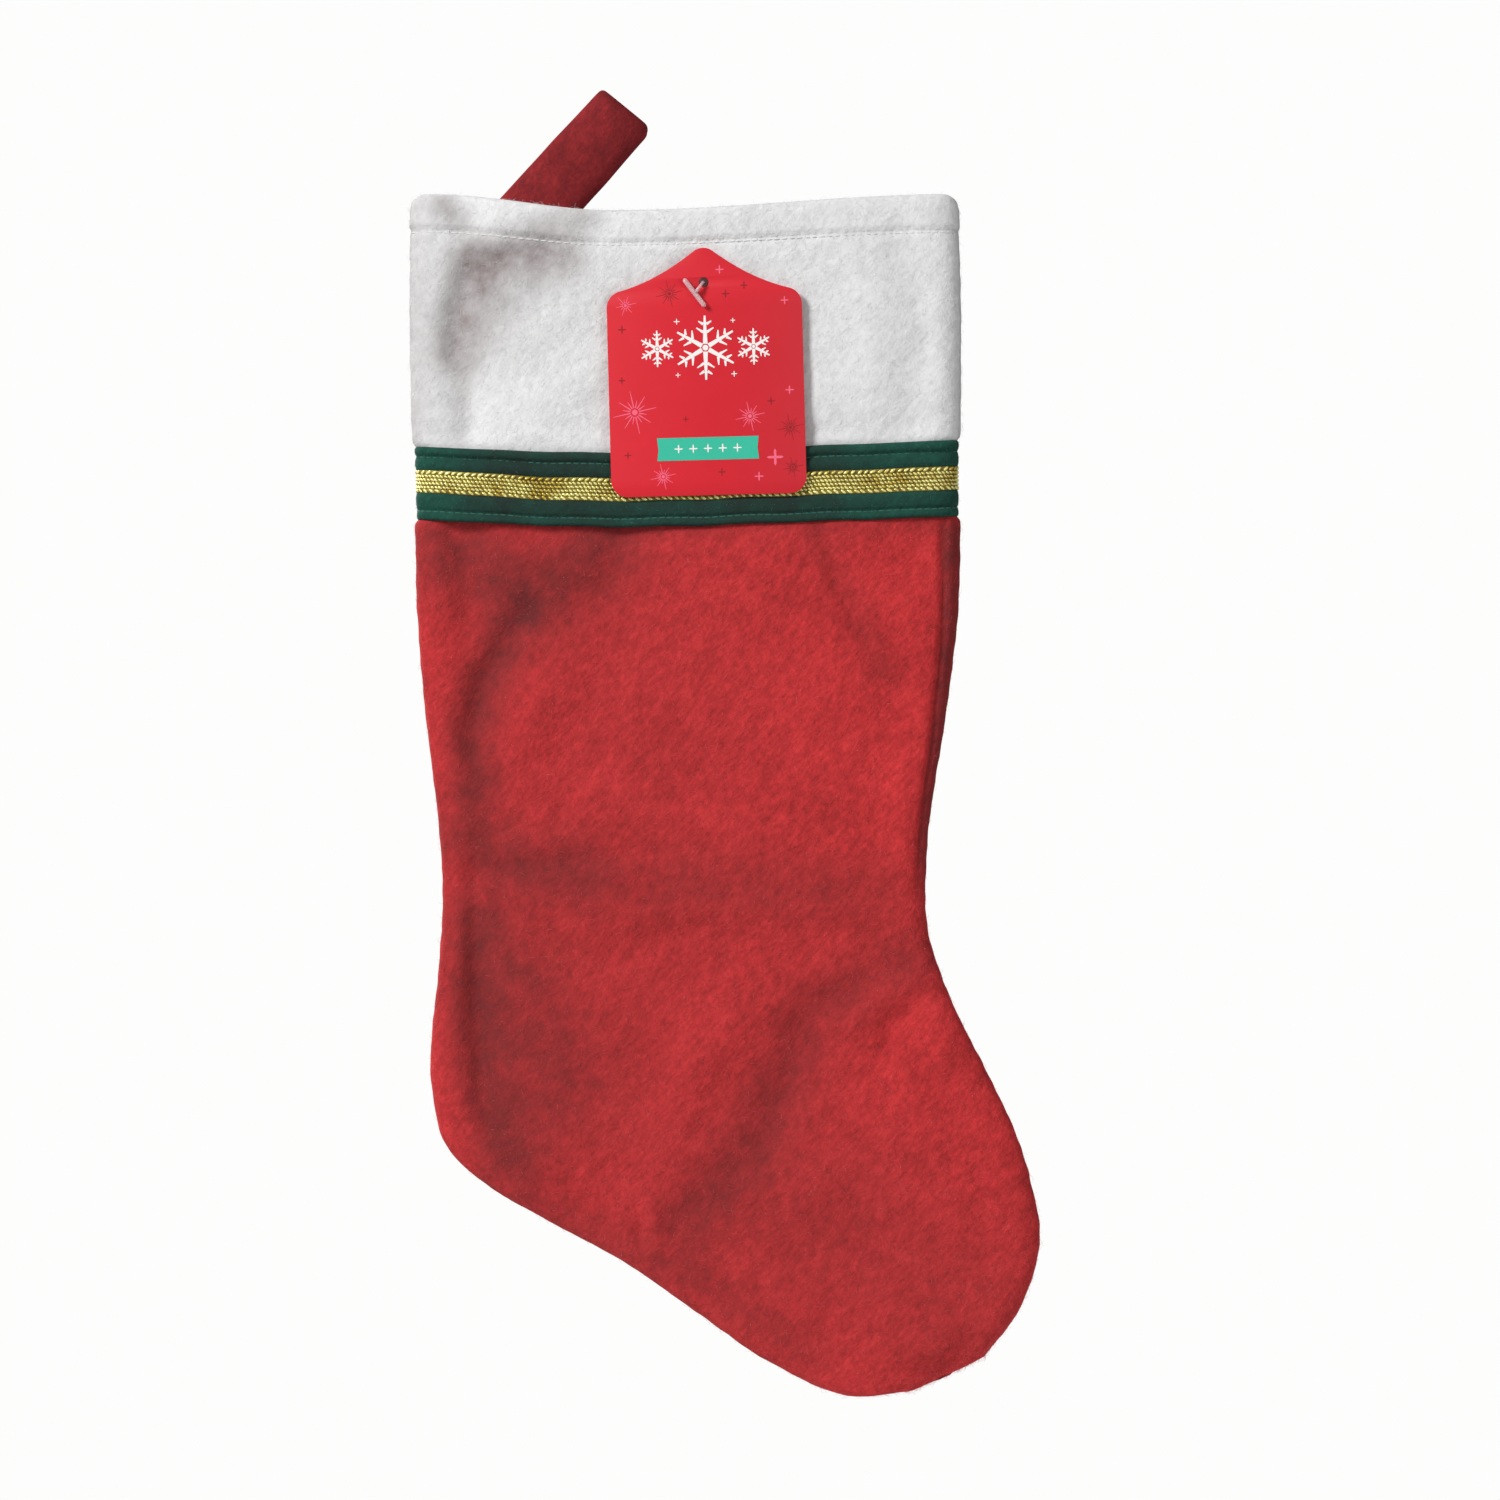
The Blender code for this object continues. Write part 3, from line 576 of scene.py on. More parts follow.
def along_path(x, depth, path):
    """Distance from a path of points, and how far along it, from 0 to 1."""
    best, along = np.full(x.shape, 1e9), np.zeros(x.shape)
    lengths = [math.dist(a, b) for a, b in zip(path, path[1:])]
    passed = 0.0
    for (ax, az), (bx, bz), length in zip(path, path[1:], lengths):
        t = ((x - ax) * (bx - ax) + (depth - az) * (bz - az)) / length ** 2
        held = np.clip(t, 0, 1)
        distance = np.hypot(x - ax - held * (bx - ax), depth - az - held * (bz - az))
        nearer = distance < best
        best = np.where(nearer, distance, best)
        along = np.where(nearer, (passed + held * length) / sum(lengths), along)
        passed += length
    return best, along


def fold_height(x, depth, folds):
    """The sum of the folds' heights, each fading towards its two ends."""
    total = np.zeros(x.shape)
    for path, width, height in folds:
        distance, along = along_path(x, depth, path)
        strength = 0.35 + 0.65 * np.sin(math.pi * along)
        total += height * strength * np.exp(-(distance / width) ** 2)
    return total


def felt_relief(grid, edge, folds, seed, seam_depth=0.9):
    """Height of the felt above its plain shape: folds, soft waves, the seam's lips."""
    x, depth = places_on(grid)
    edge = edge / MM
    inside = smooth_step((edge - 6) / 14)
    sides = np.where(x < 0, 1.9, 1.1) * np.exp(-((edge - 27) / 9) ** 2)
    bands = smooth_step(np.maximum(TRIM_TOP / MM - depth, depth - TRIM_BOTTOM / MM) / 9 + 0.4)
    waves = 0.8 * noise_at(grid, 22, seed) + 0.35 * noise_at(grid, 60, seed + 1)
    lumps = 0.14 * noise_at(grid, 210, seed + 2) + 0.09 * noise_at(grid, 430, seed + 3)
    side = np.where(x < 0, 0.0, 5.0)
    run = depth + np.abs(x) * 0.5
    pucker = np.sin(run * 0.62 + side) + 0.6 * np.sin(run * 0.29 + 2 * side)
    lips = -seam_depth * np.exp(-(edge / 1.1) ** 2) + 0.1 * np.exp(-((edge - 5) / 3) ** 2)
    seam = 0.12 * pucker * np.exp(-edge / 6) + lips
    height = (fold_height(x, depth, folds) + waves - sides) * inside + lumps
    return (height + seam) * bands * MM


def felt_panel(name, node, slot, rows, sign, relief, material, thickness, steady=0):
    """A felt sheet from rows of (points, distance from the seam), in place of a CAD node.

    The first rows, up to steady, are pushed in and out the same way as that row.
    """
    grid = np.array([points for points, _ in rows])
    edge = np.array([distance for _, distance in rows])
    normal = normals_of(grid, sign)
    normal[:steady] = normal[steady]
    shaped = grid + normal * relief(grid, edge)[:, :, None]
    faces = grid_faces(*shaped.shape[:2], flip=sign < 0)
    obj = add_mesh(name, shaped.reshape(-1, 3), faces, material, "stocking", slot, [node])
    thicken(obj, thickness)
    return obj, shaped, normals_of(shaped, sign)


def tucked_row(depth, under, sign, columns):
    """A row of felt, squeezed as it goes under the band, and how far under it is."""
    tuck = BAND_TUCK * min(1, max(0, (under + 1.5 * MM) / (4 * MM)))
    return level_row(depth, -2.8 * tuck, -tuck, sign, columns)


# Leg and foot --------------------

def leg_rows(sign, columns, spacing):
    rows = []
    for depth in np.arange(LEG_TOP, ROWS_MM[LEVEL_ROWS][0][1] * MM, spacing):
        rows.append(tucked_row(depth, TRIM_BOTTOM - depth, sign, columns))
    last = len(ROWS_MM) - 1
    for place in np.linspace(LEVEL_ROWS, last, int(FOOT_LENGTH / spacing)):
        rows.append(half_section(*row_at(place), 0, 0, sign, columns))
    left, right = row_at(last)
    middle = (left + right) / 2
    outward = unit(np.array((right[2] - left[2], 0, left[0] - right[0])))
    for turn in np.linspace(0, TOE_TURN, 13)[1:]:
        centre = middle + outward * TOE_BULGE * math.sin(turn)
        reach = (right - left) / 2 * math.cos(turn)
        rows.append(half_section(centre - reach, centre + reach, 0, 0, sign, columns))
    return rows


def right_seam_strip(x, depth, edge):
    """On the leg's right the back panel comes round: a crease, and outside it a strip of painted
    shade where the felt turns from the light.
    """
    reach = smooth_step((depth - 118) / 8) * smooth_step((275 - depth) / 40) * (x > 0)
    crease = np.interp(depth, (136, 226), (13.5, 9.5))
    height = -1.4 * np.exp(-((edge - crease) / 1.2) ** 2)
    shade = 0.74 * smooth_step((crease + 1.2 - edge) / 2.0)
    return height * reach, shade * reach


def make_leg(half, sign, folds, spacing):
    rows = leg_rows(sign, int(LEG_ACROSS / spacing), spacing)

    def relief(grid, edge):
        height = felt_relief(grid, edge, folds, 3 if sign < 0 else 9)
        if sign < 0:
            height += right_seam_strip(*places_on(grid), edge / MM)[0] * MM
        return height

    obj, shaped, normal = felt_panel(f"leg_{half}_felt", f"leg_{half}", "red_felt", rows, sign,
                                     relief, RED_FELT, FELT)
    if sign < 0:
        edge = np.array([distance for _, distance in rows]) / MM
        # The dark strip by the right seam is painted shade; it starts the leg's painted shade.
        _, dark = right_seam_strip(*places_on(shaped), edge)
        add_painted_shade_and_show_through(obj, shaped, LEG_PAINTED_SHADE, start=dark)
    return shaped, normal


# Cuff --------------------

def cuff_rows(sign, columns, spacing):
    """From the hem's raw edge inside, up over the rim and down the outside.

    Gives the rows, and each one's depth on the outside, or a minus number inside.
    """
    inner = -(2 * FELT + 0.9 * MM)
    roll = -inner / 2
    rows, levels = [], []
    for depth in np.arange(HEM + 2 * MM, roll + 0.2 * MM, -spacing):
        rows.append(level_row(depth, inner, inner, sign, columns))
        levels.append(-1)
    for turn in np.linspace(math.pi, 0, 9):
        grow = -roll + roll * math.cos(turn)
        rows.append(level_row(roll, grow, grow, sign, columns, roll * math.sin(turn)))
        levels.append(-1 if turn > 1 else 0)
    for depth in np.arange(roll + spacing, CUFF_BOTTOM, spacing):
        rows.append(tucked_row(depth, depth - TRIM_TOP, sign, columns))
        levels.append(depth / MM)
    return rows, np.array(levels)[:, None]


def hem_relief(depth, x):
    """The turned hem stands proud above its stitch line, which is dented by each stitch."""
    proud = 0.45 * smooth_step((HEM / MM - depth) / 1.5) * smooth_step(depth / 5)
    dent = 0.65 + 0.35 * np.cos(2 * math.pi * x * MM / STITCH_PITCH)
    return proud - 1.35 * dent * np.exp(-((depth - HEM / MM) / 0.85) ** 2)


def make_cuff(half, sign, folds, spacing):
    rows, levels = cuff_rows(sign, int(CUFF_ACROSS / spacing), spacing)
    steady = int(np.searchsorted(levels[:, 0], 8))

    def relief(grid, edge):
        x, _ = places_on(grid)
        hem = hem_relief(levels, x) * smooth_step(edge / (3 * MM)) * (levels >= 0)
        return felt_relief(grid, edge, folds, 15 if sign < 0 else 21, 0.6) + hem * MM

    obj, shaped, normal = felt_panel(f"cuff_{half}_felt", f"cuff_{half}", "white_felt", rows,
                                     sign, relief, WHITE_FELT, FELT, steady)
    edge = np.array([distance for _, distance in rows]) / MM
    seam_shadow = 0.34 * smooth_step((7.5 - edge) / 3)
    add_painted_shade_and_show_through(obj, shaped, CUFF_SHOW_THROUGH_AND_PAINTED_SHADE if sign < 0 else [], levels >= 0, seam_shadow)
    hem_row = int(np.searchsorted(levels[:, 0], HEM / MM))
    stitch_line(f"hem_{half}_stitches", shaped[hem_row], normal[hem_row], WHITE_THREAD,
                "white_thread", [f"hem_thread_{half}"], -0.05 * MM)
    return shaped, normal


# Green band --------------------

BAND_PROFILE = [                    # (distance below the band's top, height over the felt)
    (0.0, 0.15), (0.25, 1.0), (0.9, 1.75), (1.9, 2.05), (2.9, 1.65), (3.75, 0.85),
    (4.5, 1.45), (5.8, 1.95), (7.4, 1.85), (8.6, 1.15), (9.4, 0.55), (13.2, 0.5),
    (17.0, 0.55), (17.9, 1.25), (19.2, 1.95), (21.2, 2.0), (23.0, 1.6), (24.25, 0.85),
    (25.0, 1.3), (26.2, 1.75), (27.2, 1.5), (27.8, 0.8), (28.0, 0.15),
]


def band_row(below, sign, columns, extra=0.0):
    """One row on the band; its sides are drawn in, so that it hardly widens the body."""
    height = (np.interp(below / MM, *np.array(BAND_PROFILE).T) + extra) * MM
    side_height = 0.4 * height + 0.6 * MM
    return level_row(TRIM_TOP + below, side_height - BAND_DRAW, height, sign, columns)


def make_band(half, sign, spacing):
    columns = int(BAND_ACROSS / spacing)
    belows = np.linspace(0, TRIM_BOTTOM - TRIM_TOP, 58)
    rows = [band_row(below, sign, columns) for below in belows]

    def relief(grid, edge):
        x, _ = places_on(grid)
        soft = 0.14 * noise_at(grid, 90, 31 + sign) + 0.06 * noise_at(grid, 300, 33 + sign)
        below = belows[:, None] / MM
        dents = np.zeros(x.shape)
        for line in BAND_STITCHES:
            nearness = np.exp(-((below - line / MM) / 0.7) ** 2)
            dents -= 0.25 * nearness * (1 + np.cos(2 * math.pi * x * MM / STITCH_PITCH))
        lips = -0.5 * np.exp(-(edge / MM / 0.9) ** 2)
        return (soft + dents + lips) * MM

    obj, shaped, normal = felt_panel(f"trim_{half}_band", f"trim_{half}", "green_felt", rows,
                                     sign, relief, GREEN_FELT, BAND_FELT)
    if sign < 0:
        add_painted_shade_and_show_through(obj, shaped, BAND_PAINTED_SHADE)
    for place, below, sink in zip(("upper", "lower"), BAND_STITCHES, (0.1 * MM, 0.0)):
        row = int(np.searchsorted(belows, below))
        stitch_line(f"trim_{place}_{half}_stitches", shaped[row], normal[row], GREEN_THREAD,
                    "green_thread", [f"trim_{place}_thread_{half}"], sink)
    return shaped, normal


# Gold braid --------------------

def make_braid(half, sign):
    """Knitted metallic yarn: wales of slanting stitches over a backing, made dark as painted shade
    for the gaps between stitches.
    """
    low, high = BRAID_TOP - TRIM_TOP, BRAID_BOTTOM - TRIM_TOP
    backing_rows = [band_row(below, sign, 120, 0.35) for below in np.linspace(low, high, 10)]
    backing, _, _ = felt_panel(
        f"braid_{half}_backing", f"braid_{half}", "gold_braid", backing_rows, sign,
        lambda grid, edge: 0.05 * MM * noise_at(grid, 400, 41), GOLD_BACKING_PAINTED_SHADE, 0.3 * MM)
    draw = random.Random(5 + sign)
    places = []
    for wale in range(BRAID_WALES):
        rim = wale in (0, BRAID_WALES - 1)
        pitch, length, width = (2.4, 1.15, 0.52) if rim else (1.5, 0.84, 0.42)
        below = low + (high - low) * (wale + 0.5) / BRAID_WALES
        columns = int(BRAID_ACROSS / (pitch * MM))
        points, _ = band_row(below, sign, columns, 0.6)
        lower, _ = band_row(below + 0.2 * MM, sign, columns, 0.6)
        normal = normals_of(np.stack([points, lower]), sign)[0]
        for index in range(1, columns - 1):
            along = unit(points[index + 1] - points[index - 1])
            down = unit(lower[index] - points[index])
            slant = draw.uniform(0.4, 0.8) * (-1 if wale == 0 else 1)
            lean = normal[index] + along * draw.uniform(-0.5, 0.5) + down * draw.uniform(-0.4, 0.4)
            step = pitch * MM * (0.5 * (wale % 2) + draw.uniform(-0.1, 0.1))
            size = MM * draw.uniform(0.88, 1.1)
            places.append((points[index] + along * step, along + down * slant, lean,
                           (length * size, width * size, 0.4 * MM)))
    scatter_shape(f"braid_{half}_yarn", unit_ball(6, 8), places, GOLD_YARN, body="stocking",
                  slot="gold_braid")


# Stitches --------------------

def stitch_line(name, points, normal, material, slot, replaces, sink):
    """Machine stitches along a row of a felt panel, sunk a little into it."""
    lengths = run_lengths(points)
    places = []
    for start in np.arange(2 * MM, lengths[-1] - 3.5 * MM, STITCH_PITCH):
        begin = value_at(start, lengths, points)
        end = value_at(start + 0.86 * STITCH_PITCH, lengths, points)
        outward = value_at(start + 0.43 * STITCH_PITCH, lengths, normal)
        places.append(((begin + end) / 2 - outward * sink, end - begin, outward,
                       (STITCH_PITCH * 0.43, 0.3 * MM, 0.3 * MM)))
    scatter_shape(name, unit_ball(7, 8), places, material, body="stocking", slot=slot,
                  replaces=replaces)


def make_seam_stitches():
    """Small stitches that close the side seam, seen in the groove between the panels."""
    places = []
    rows = np.array([row_at(place) for place in np.linspace(0.1, len(ROWS_MM) - 1.2, 400)])
    for side in (0, 1):
        run, other = rows[:, side], rows[:, 1 - side]
        inward = other - run
        inward /= np.linalg.norm(inward, axis=1, keepdims=True)
        lengths = run_lengths(run)
        for start in np.arange(0, lengths[-1], STITCH_PITCH):
            centre = value_at(start, lengths, run)
            ahead = value_at(start + MM, lengths, run)
            inner = value_at(start, lengths, inward)
            depth = RIM_Z - centre[2]
            if depth < 5 * MM or TRIM_TOP - 3 * MM < depth < TRIM_BOTTOM + 3 * MM:
                continue
            places.append((centre + inner * 0.95 * MM, ahead - centre, -inner,
                           (STITCH_PITCH * 0.42, 0.26 * MM, 0.26 * MM)))
    scatter_shape("side_seam_stitches", unit_ball(6, 6), places, RED_THREAD, body="stocking",
                  slot="red_thread", replaces=["side_seam_thread"])


# Loose fibres --------------------

SLIVER_FACES = [                    # three rings of three corners and a tip
    (0, 1, 4, 3), (1, 2, 5, 4), (2, 0, 3, 5), (3, 4, 7, 6), (4, 5, 8, 7), (5, 3, 6, 8),
    (6, 7, 9), (7, 8, 9), (8, 6, 9), (2, 1, 0),
]


def make_fuzz(name, grid, normal, count, material, slot, seed, length=(1.0, 3.2), skip_rows=0):
    """Fine curved hairs that stand off the brushed felt, each a closed tapering sliver."""
    draw = random.Random(seed)
    rows, columns = grid.shape[:2]
    points, faces = [], []
    for _ in range(int(count) // (1)):
        row, column = draw.randrange(skip_rows, rows - 2), draw.randrange(1, columns - 1)
        root, up = grid[row, column], normal[row, column]
        if np.linalg.norm(up) < 0.5:
            continue
        lean = np.array([draw.gauss(0, 1) for _ in range(3)])
        lean -= up * np.dot(lean, up)
        lean /= np.linalg.norm(lean) + 1e-9
        curl = np.cross(up, lean) * draw.uniform(-0.8, 0.8)
        reach = draw.uniform(*length) * MM
        rise = draw.uniform(0.08, 0.5)
        thick = draw.uniform(0.022, 0.042) * MM
        start = len(points)
        for step, width in ((0.0, 1.0), (0.4, 0.9), (0.75, 0.6), (1.0, 0)):
            arch = up * rise * math.sin(step * 2.2)
            centre = root + reach * (lean * step + curl * step * step + arch)
            for corner in range(3 if width else 1):
                angle = corner * 2.0944
                side = math.cos(angle) * up + math.sin(angle) * np.cross(up, lean)
                points.append(centre + thick * width * side)
        faces.extend([start + corner for corner in face] for face in SLIVER_FACES)
    add_mesh(name, points, faces, material, body="stocking", slot=slot)


# Hanging loop --------------------

STRAP_LEAN = math.radians(42)
STRAP_ALONG = np.array((math.sin(STRAP_LEAN), 0, math.cos(STRAP_LEAN)))
STRAP_ACROSS = np.array((math.cos(STRAP_LEAN), 0, -math.sin(STRAP_LEAN)))
STRAP_WIDTH, STRAP_THICK = 25 * MM, 1.5 * MM
STRAP_TAIL, STRAP_TOP = -98 * MM, -4 * MM
STRAP_CROWN, STRAP_CURL, STRAP_WAVE = 1.9 * MM, 1.1 * MM, 0.35 * MM
STRAP_TWIST = 0.24                  # the right edge lies further back than the left one


def strap_line():
    """(length along the strap, half the gap) from the tail's end up and round the top."""
    near, radius = STRAP_THICK / 2 + 0.1 * MM, STRAP_THICK / 2 + 4 * MM
    lengths = np.arange(STRAP_TAIL, STRAP_TOP, 1.2 * MM)
    open_up = smooth_step((lengths + 36 * MM) / (12 * MM))
    gaps = near + (radius - near) * open_up
    rising = list(zip(lengths, gaps))
    turns = np.linspace(0, math.pi, 20)
    fold = [(STRAP_TOP + radius * math.sin(turn), radius * math.cos(turn)) for turn in turns]
    return rising + fold + [(length, -gap) for length, gap in reversed(rising)]


def strap_grid():
    """The strap's points: crowned, curled at its edges, and twisted where it is free."""
    line = np.array(strap_line())
    length, away = line[:, :1], line[:, 1:]
    share = np.linspace(-0.5, 0.5, 22)
    seam_cut = smooth_step((length - STRAP_TAIL) / (30 * MM))
    away = away - STRAP_CROWN * (1 - (2 * share) ** 2) * (0.3 + 0.7 * seam_cut)
    away += STRAP_WAVE * np.sin(length / MM * 0.21 + share * 3)
    away += STRAP_CURL * np.maximum(0, (abs(2 * share) - 0.7) / 0.3) ** 2
    free = smooth_step((length + 42 * MM) / (24 * MM))
    away += STRAP_WIDTH * share * STRAP_TWIST * free
    side = share * STRAP_WIDTH * (1 - 0.08 * np.exp(-(length / (28 * MM)) ** 2))
    corner = np.where(share > 0, 3.4, 1.6) * MM
    near_end = np.clip(1 - (0.75 * MM - length) / corner, 0, 1)
    side -= 2 * share * corner * (1 - np.sqrt(1 - 0.999 * near_end ** 2))
    skew = (1.7 + 1.2 * share) * MM * smooth_step((length + 60 * MM) / (50 * MM))
    grid = np.multiply.outer(length + skew, STRAP_ALONG)
    grid += np.multiply.outer(side + 0.6 * MM, STRAP_ACROSS)
    grid[:, :, 1] += away
    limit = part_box("loop_tail")[0].x + 0.2 * MM
    grid[:, :, 0] = np.maximum(grid[:, :, 0], limit + 0.002 * (grid[:, :, 0] - limit))
    return grid


def make_strap():
    grid = strap_grid()
    strap = add_mesh("strap_felt_loop", grid.reshape(-1, 3), grid_faces(*grid.shape[:2]),
                     STRAP_FELT, slot="strap_felt", replaces=["hanging_loop", "loop_tail"])
    thicken(strap, STRAP_THICK, offset=0, bevel=0.4 * MM)
    mesh = evaluated_mesh(strap)
    strap.modifiers.clear()
    strap.data = mesh
    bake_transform(strap)


def make_tack_stitches():
    """A small box of stitches through the strap's tail, inside the mouth."""
    y = -(STRAP_THICK + 1.3 * MM)
    low, high, half = -92 * MM, -80 * MM, 8 * MM
    corners = [(low, -half + 6 * MM), (high, -half), (high, half), (low, half)]
    places = []
    for (a, b), (c, d) in zip(corners, corners[1:] + corners[:1]):
        count = max(2, int(math.dist((a, b), (c, d)) / STITCH_PITCH))
        for step in range(count):
            share = (step + 0.5) / count
            centre = (STRAP_ALONG * (a + (c - a) * share)
                      + STRAP_ACROSS * (b + (d - b) * share) + np.array((0, y, 0)))
            run = STRAP_ALONG * (c - a) + STRAP_ACROSS * (d - b)
            places.append((centre, run, np.array((0, -1.0, 0)),
                           (STITCH_PITCH * 0.4, 0.28 * MM, 0.28 * MM)))
    scatter_shape("strap_tack_stitches", unit_ball(6, 6), places, RED_THREAD, body="stocking",
                  slot="red_thread", replaces=["loop_tack_thread"])


# Swing tag --------------------

TAG_TILT = math.radians(1.5)
TAG_HOLE_DROP = 12.75 * MM
TAG_HALF_WIDTH = 36.4 * MM
TAG_HEIGHT = 92.3 * MM
CARD_THICK, CARD_BEVEL = TAG_HIGH.y - TAG_LOW.y, 0.09 * MM
HOLE_LOW, HOLE_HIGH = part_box("fastener_anchor")
HOLE = Vector(((HOLE_LOW.x + HOLE_HIGH.x) / 2, TAG_LOW.y, (HOLE_LOW.z + HOLE_HIGH.z) / 2))


def arc(centre, radius, start, stop, steps):
    angles = [math.radians(start + (stop - start) * step / steps) for step in range(steps + 1)]
    return [(centre[0] + radius * math.cos(a), centre[1] + radius * math.sin(a)) for a in angles]


def metres(outline):
    return [(x * MM, z * MM) for x, z in outline]


def tag_outline():
    """The card's edge in metres from its hole, anticlockwise."""
    apex = arc((0, -5.8), 5.8, 90, 51, 8)
    corner = arc((TAG_HALF_WIDTH / MM - 6.3, -15.4 - 6.3), 6.3, 75, 0, 12)
    start, stop = apex[-1], corner[0]
    slope = []
    for step in range(1, 14):
        share = step / 14
        drop = share * (1 + 0.5 * (1 - share))
        slope.append((start[0] + (stop[0] - start[0]) * share,
                      start[1] + (stop[1] - start[1]) * drop))
    foot = arc((TAG_HALF_WIDTH / MM - 6.2, -TAG_HEIGHT / MM + 6.2), 6.2, 0, -90, 12)
    half = apex + slope + corner + foot
    whole = half + [(-x, z) for x, z in reversed(half) if x > 1e-6]
    return [(x * MM, z * MM + TAG_HOLE_DROP) for x, z in whole][::-1]


def card_matrix():
    """From the card's own plane (x across, y up) to the frame, on its printed face."""
    turn = Matrix.Rotation(-TAG_TILT, 4, "Y") @ Matrix.Rotation(math.pi / 2, 4, "X")
    return Matrix.Translation(HOLE) @ turn


def make_card():
    """The card with its punched hole and rounded edges."""
    curve = bpy.data.curves.new("card_outline", "CURVE")
    curve.dimensions = "2D"
    curve.fill_mode = "BOTH"
    curve.extrude = CARD_THICK / 2 - CARD_BEVEL
    curve.bevel_depth = CARD_BEVEL
    curve.bevel_resolution = 1
    for loop in (tag_outline(), metres(arc((0, 0), 1.9, 0, 352.5, 47))):
        spline = curve.splines.new("POLY")
        spline.points.add(len(loop) - 1)
        for point, (x, z) in zip(spline.points, loop):
            point.co = (x, z, 0, 1)
        spline.use_cyclic_u = True
    outline = add_object("card_outline", curve)
    mesh = evaluated_mesh(outline)
    bpy.data.objects.remove(outline)
    bm = bmesh.new()
    bm.from_mesh(mesh)
    bmesh.ops.remove_doubles(bm, verts=bm.verts, dist=1e-6)
    bmesh.ops.recalc_face_normals(bm, faces=bm.faces)
    bm.transform(card_matrix() @ Matrix.Translation((0, 0, -CARD_THICK / 2)))
    bm.to_mesh(mesh)
    bm.free()
    mesh.materials.clear()
    mesh.materials.append(RED_CARD)
    mesh.shade_smooth()
    mesh.set_sharp_from_angle(angle=math.radians(35))
    card = add_object("tag_card", mesh)
    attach(card, "tag")
    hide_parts("swing_tag")


def print_layer(name, outlines, lift, material):
    """Many small printed shapes as one piece of thin prisms."""
    place = card_matrix()
    points, faces = [], []
    for index, outline in enumerate(outlines):
        count, start = len(outline), len(points)
        top = lift + 0.0004 * MM * (index % 40)
        for level in (0, top):
            points.extend(place @ Vector((x, z, level)) for x, z in outline)
        middle = np.mean(outline, axis=0)
        points.append(place @ Vector((middle[0], middle[1], top)))
        points.append(place @ Vector((middle[0], middle[1], 0)))
        for corner in range(count):
            after = (corner + 1) % count
            low, high = start + corner, start + count + corner
            low_after, high_after = start + after, start + count + after
            faces.append((low, low_after, high_after, high))
            faces.append((high, high_after, start + 2 * count))
            faces.append((low_after, low, start + 2 * count + 1))
    layer = add_mesh(name, points, faces, material, body="tag", slot="red_card")
    layer.data.set_sharp_from_angle(angle=math.radians(35))


def spike(x, z, angle, start, length, width):
    """A thin ray from near a centre, tapering outwards."""
    dx, dz = math.cos(angle), math.sin(angle)
    corners = ((start, -width / 2), (length, -width / 5), (length, width / 5),
               (start, width / 2))
    return metres([(x + dx * r - dz * w, z + dz * r + dx * w) for r, w in corners])


def burst(x, z, radius, rays, width):
    """A firework: long and short rays round a small dot."""
    shapes = [metres(arc((x, z), radius * 0.13, 0, 345, 23))]
    for ray in range(rays):
        length = radius * (1, 0.55, 0.85, 0.55)[ray % 4]
        shapes.append(spike(x, z, 2 * math.pi * ray / rays + 0.2, radius * 0.2, length, width))
    return shapes


def small_star(x, z, radius):
    """Four long points with hollow sides."""
    points = []
    for step in range(32):
        angle = math.pi * step / 16
        reach = radius * (0.24 + 0.76 * abs(math.cos(2 * angle)) ** 5)
        points.append((x + reach * math.cos(angle), z + reach * math.sin(angle)))
    return [metres(points)]


def snowflake(x, z, radius, width):
    """Six plain arms with two pairs of twigs each."""
    shapes = []
    for arm in range(6):
        angle = math.pi / 3 * arm + math.pi / 6
        shapes.append(spike(x, z, angle, radius * 0.12, radius, width * 1.6))
        for share, twig in ((0.45, 0.32), (0.7, 0.24)):
            px, pz = x + math.cos(angle) * radius * share, z + math.sin(angle) * radius * share
            for turn in (-1, 1):
                shapes.append(spike(px, pz, angle + turn * 1.0, 0.2 + width * 0.5,
                                    radius * twig, width))
    return shapes + [metres(arc((x, z), radius * 0.09, 0, 345, 23))]


# Printed shapes in mm from the card's hole: bursts are (x, z, radius, rays, width), flakes
# (x, z, radius, width) and stars (x, z, radius).
PINK_BURSTS = [(-27, -48, 8.2, 16, 0.5), (16, -50.5, 5.6, 16, 0.4), (-17, -72.3, 4.9, 16, 0.4),
               (-29.5, -8, 4.2, 12, 0.35)]
PINK_STARS = [(25, -66, 3.2), (18.8, -73, 1.8), (31, -41, 1.7), (6, 4.6, 1.7), (30, -7.5, 1.6)]
DARK_BURSTS = [(-13, -4, 5.2, 16, 0.35), (31, -55, 5.0, 16, 0.35), (31.5, -70, 3.9, 16, 0.35)]
DARK_STARS = [(8, -4.5, 1.6), (-31, -17, 1.6), (-31.5, -36, 1.4), (15, -1.5, 1.5),
              (24, -45, 1.6), (5, -71, 1.6), (-30, -64, 1.4), (-8, -51, 1.2)]
WHITE_FLAKES = [(0, -24.5, 12.0, 1.1), (-18, -24.5, 6.8, 0.8), (18, -24.5, 6.8, 0.8)]
WHITE_STARS = [(-10.5, -14.5, 1.2), (10.5, -34.5, 1.2), (-10.5, -34.5, 1.0),
               (10.5, -14.5, 1.0)]
LABEL = [(-19, -66.4), (19, -66.4), (18.5, -62.2), (19, -57.9), (-19, -57.9), (-18.5, -62.2)]
LABEL_STARS = [(-11 + 5.5 * step, -62.1, 1.7) for step in range(5)]


def drawn(shape, places):
    return [outline for place in places for outline in shape(*place)]


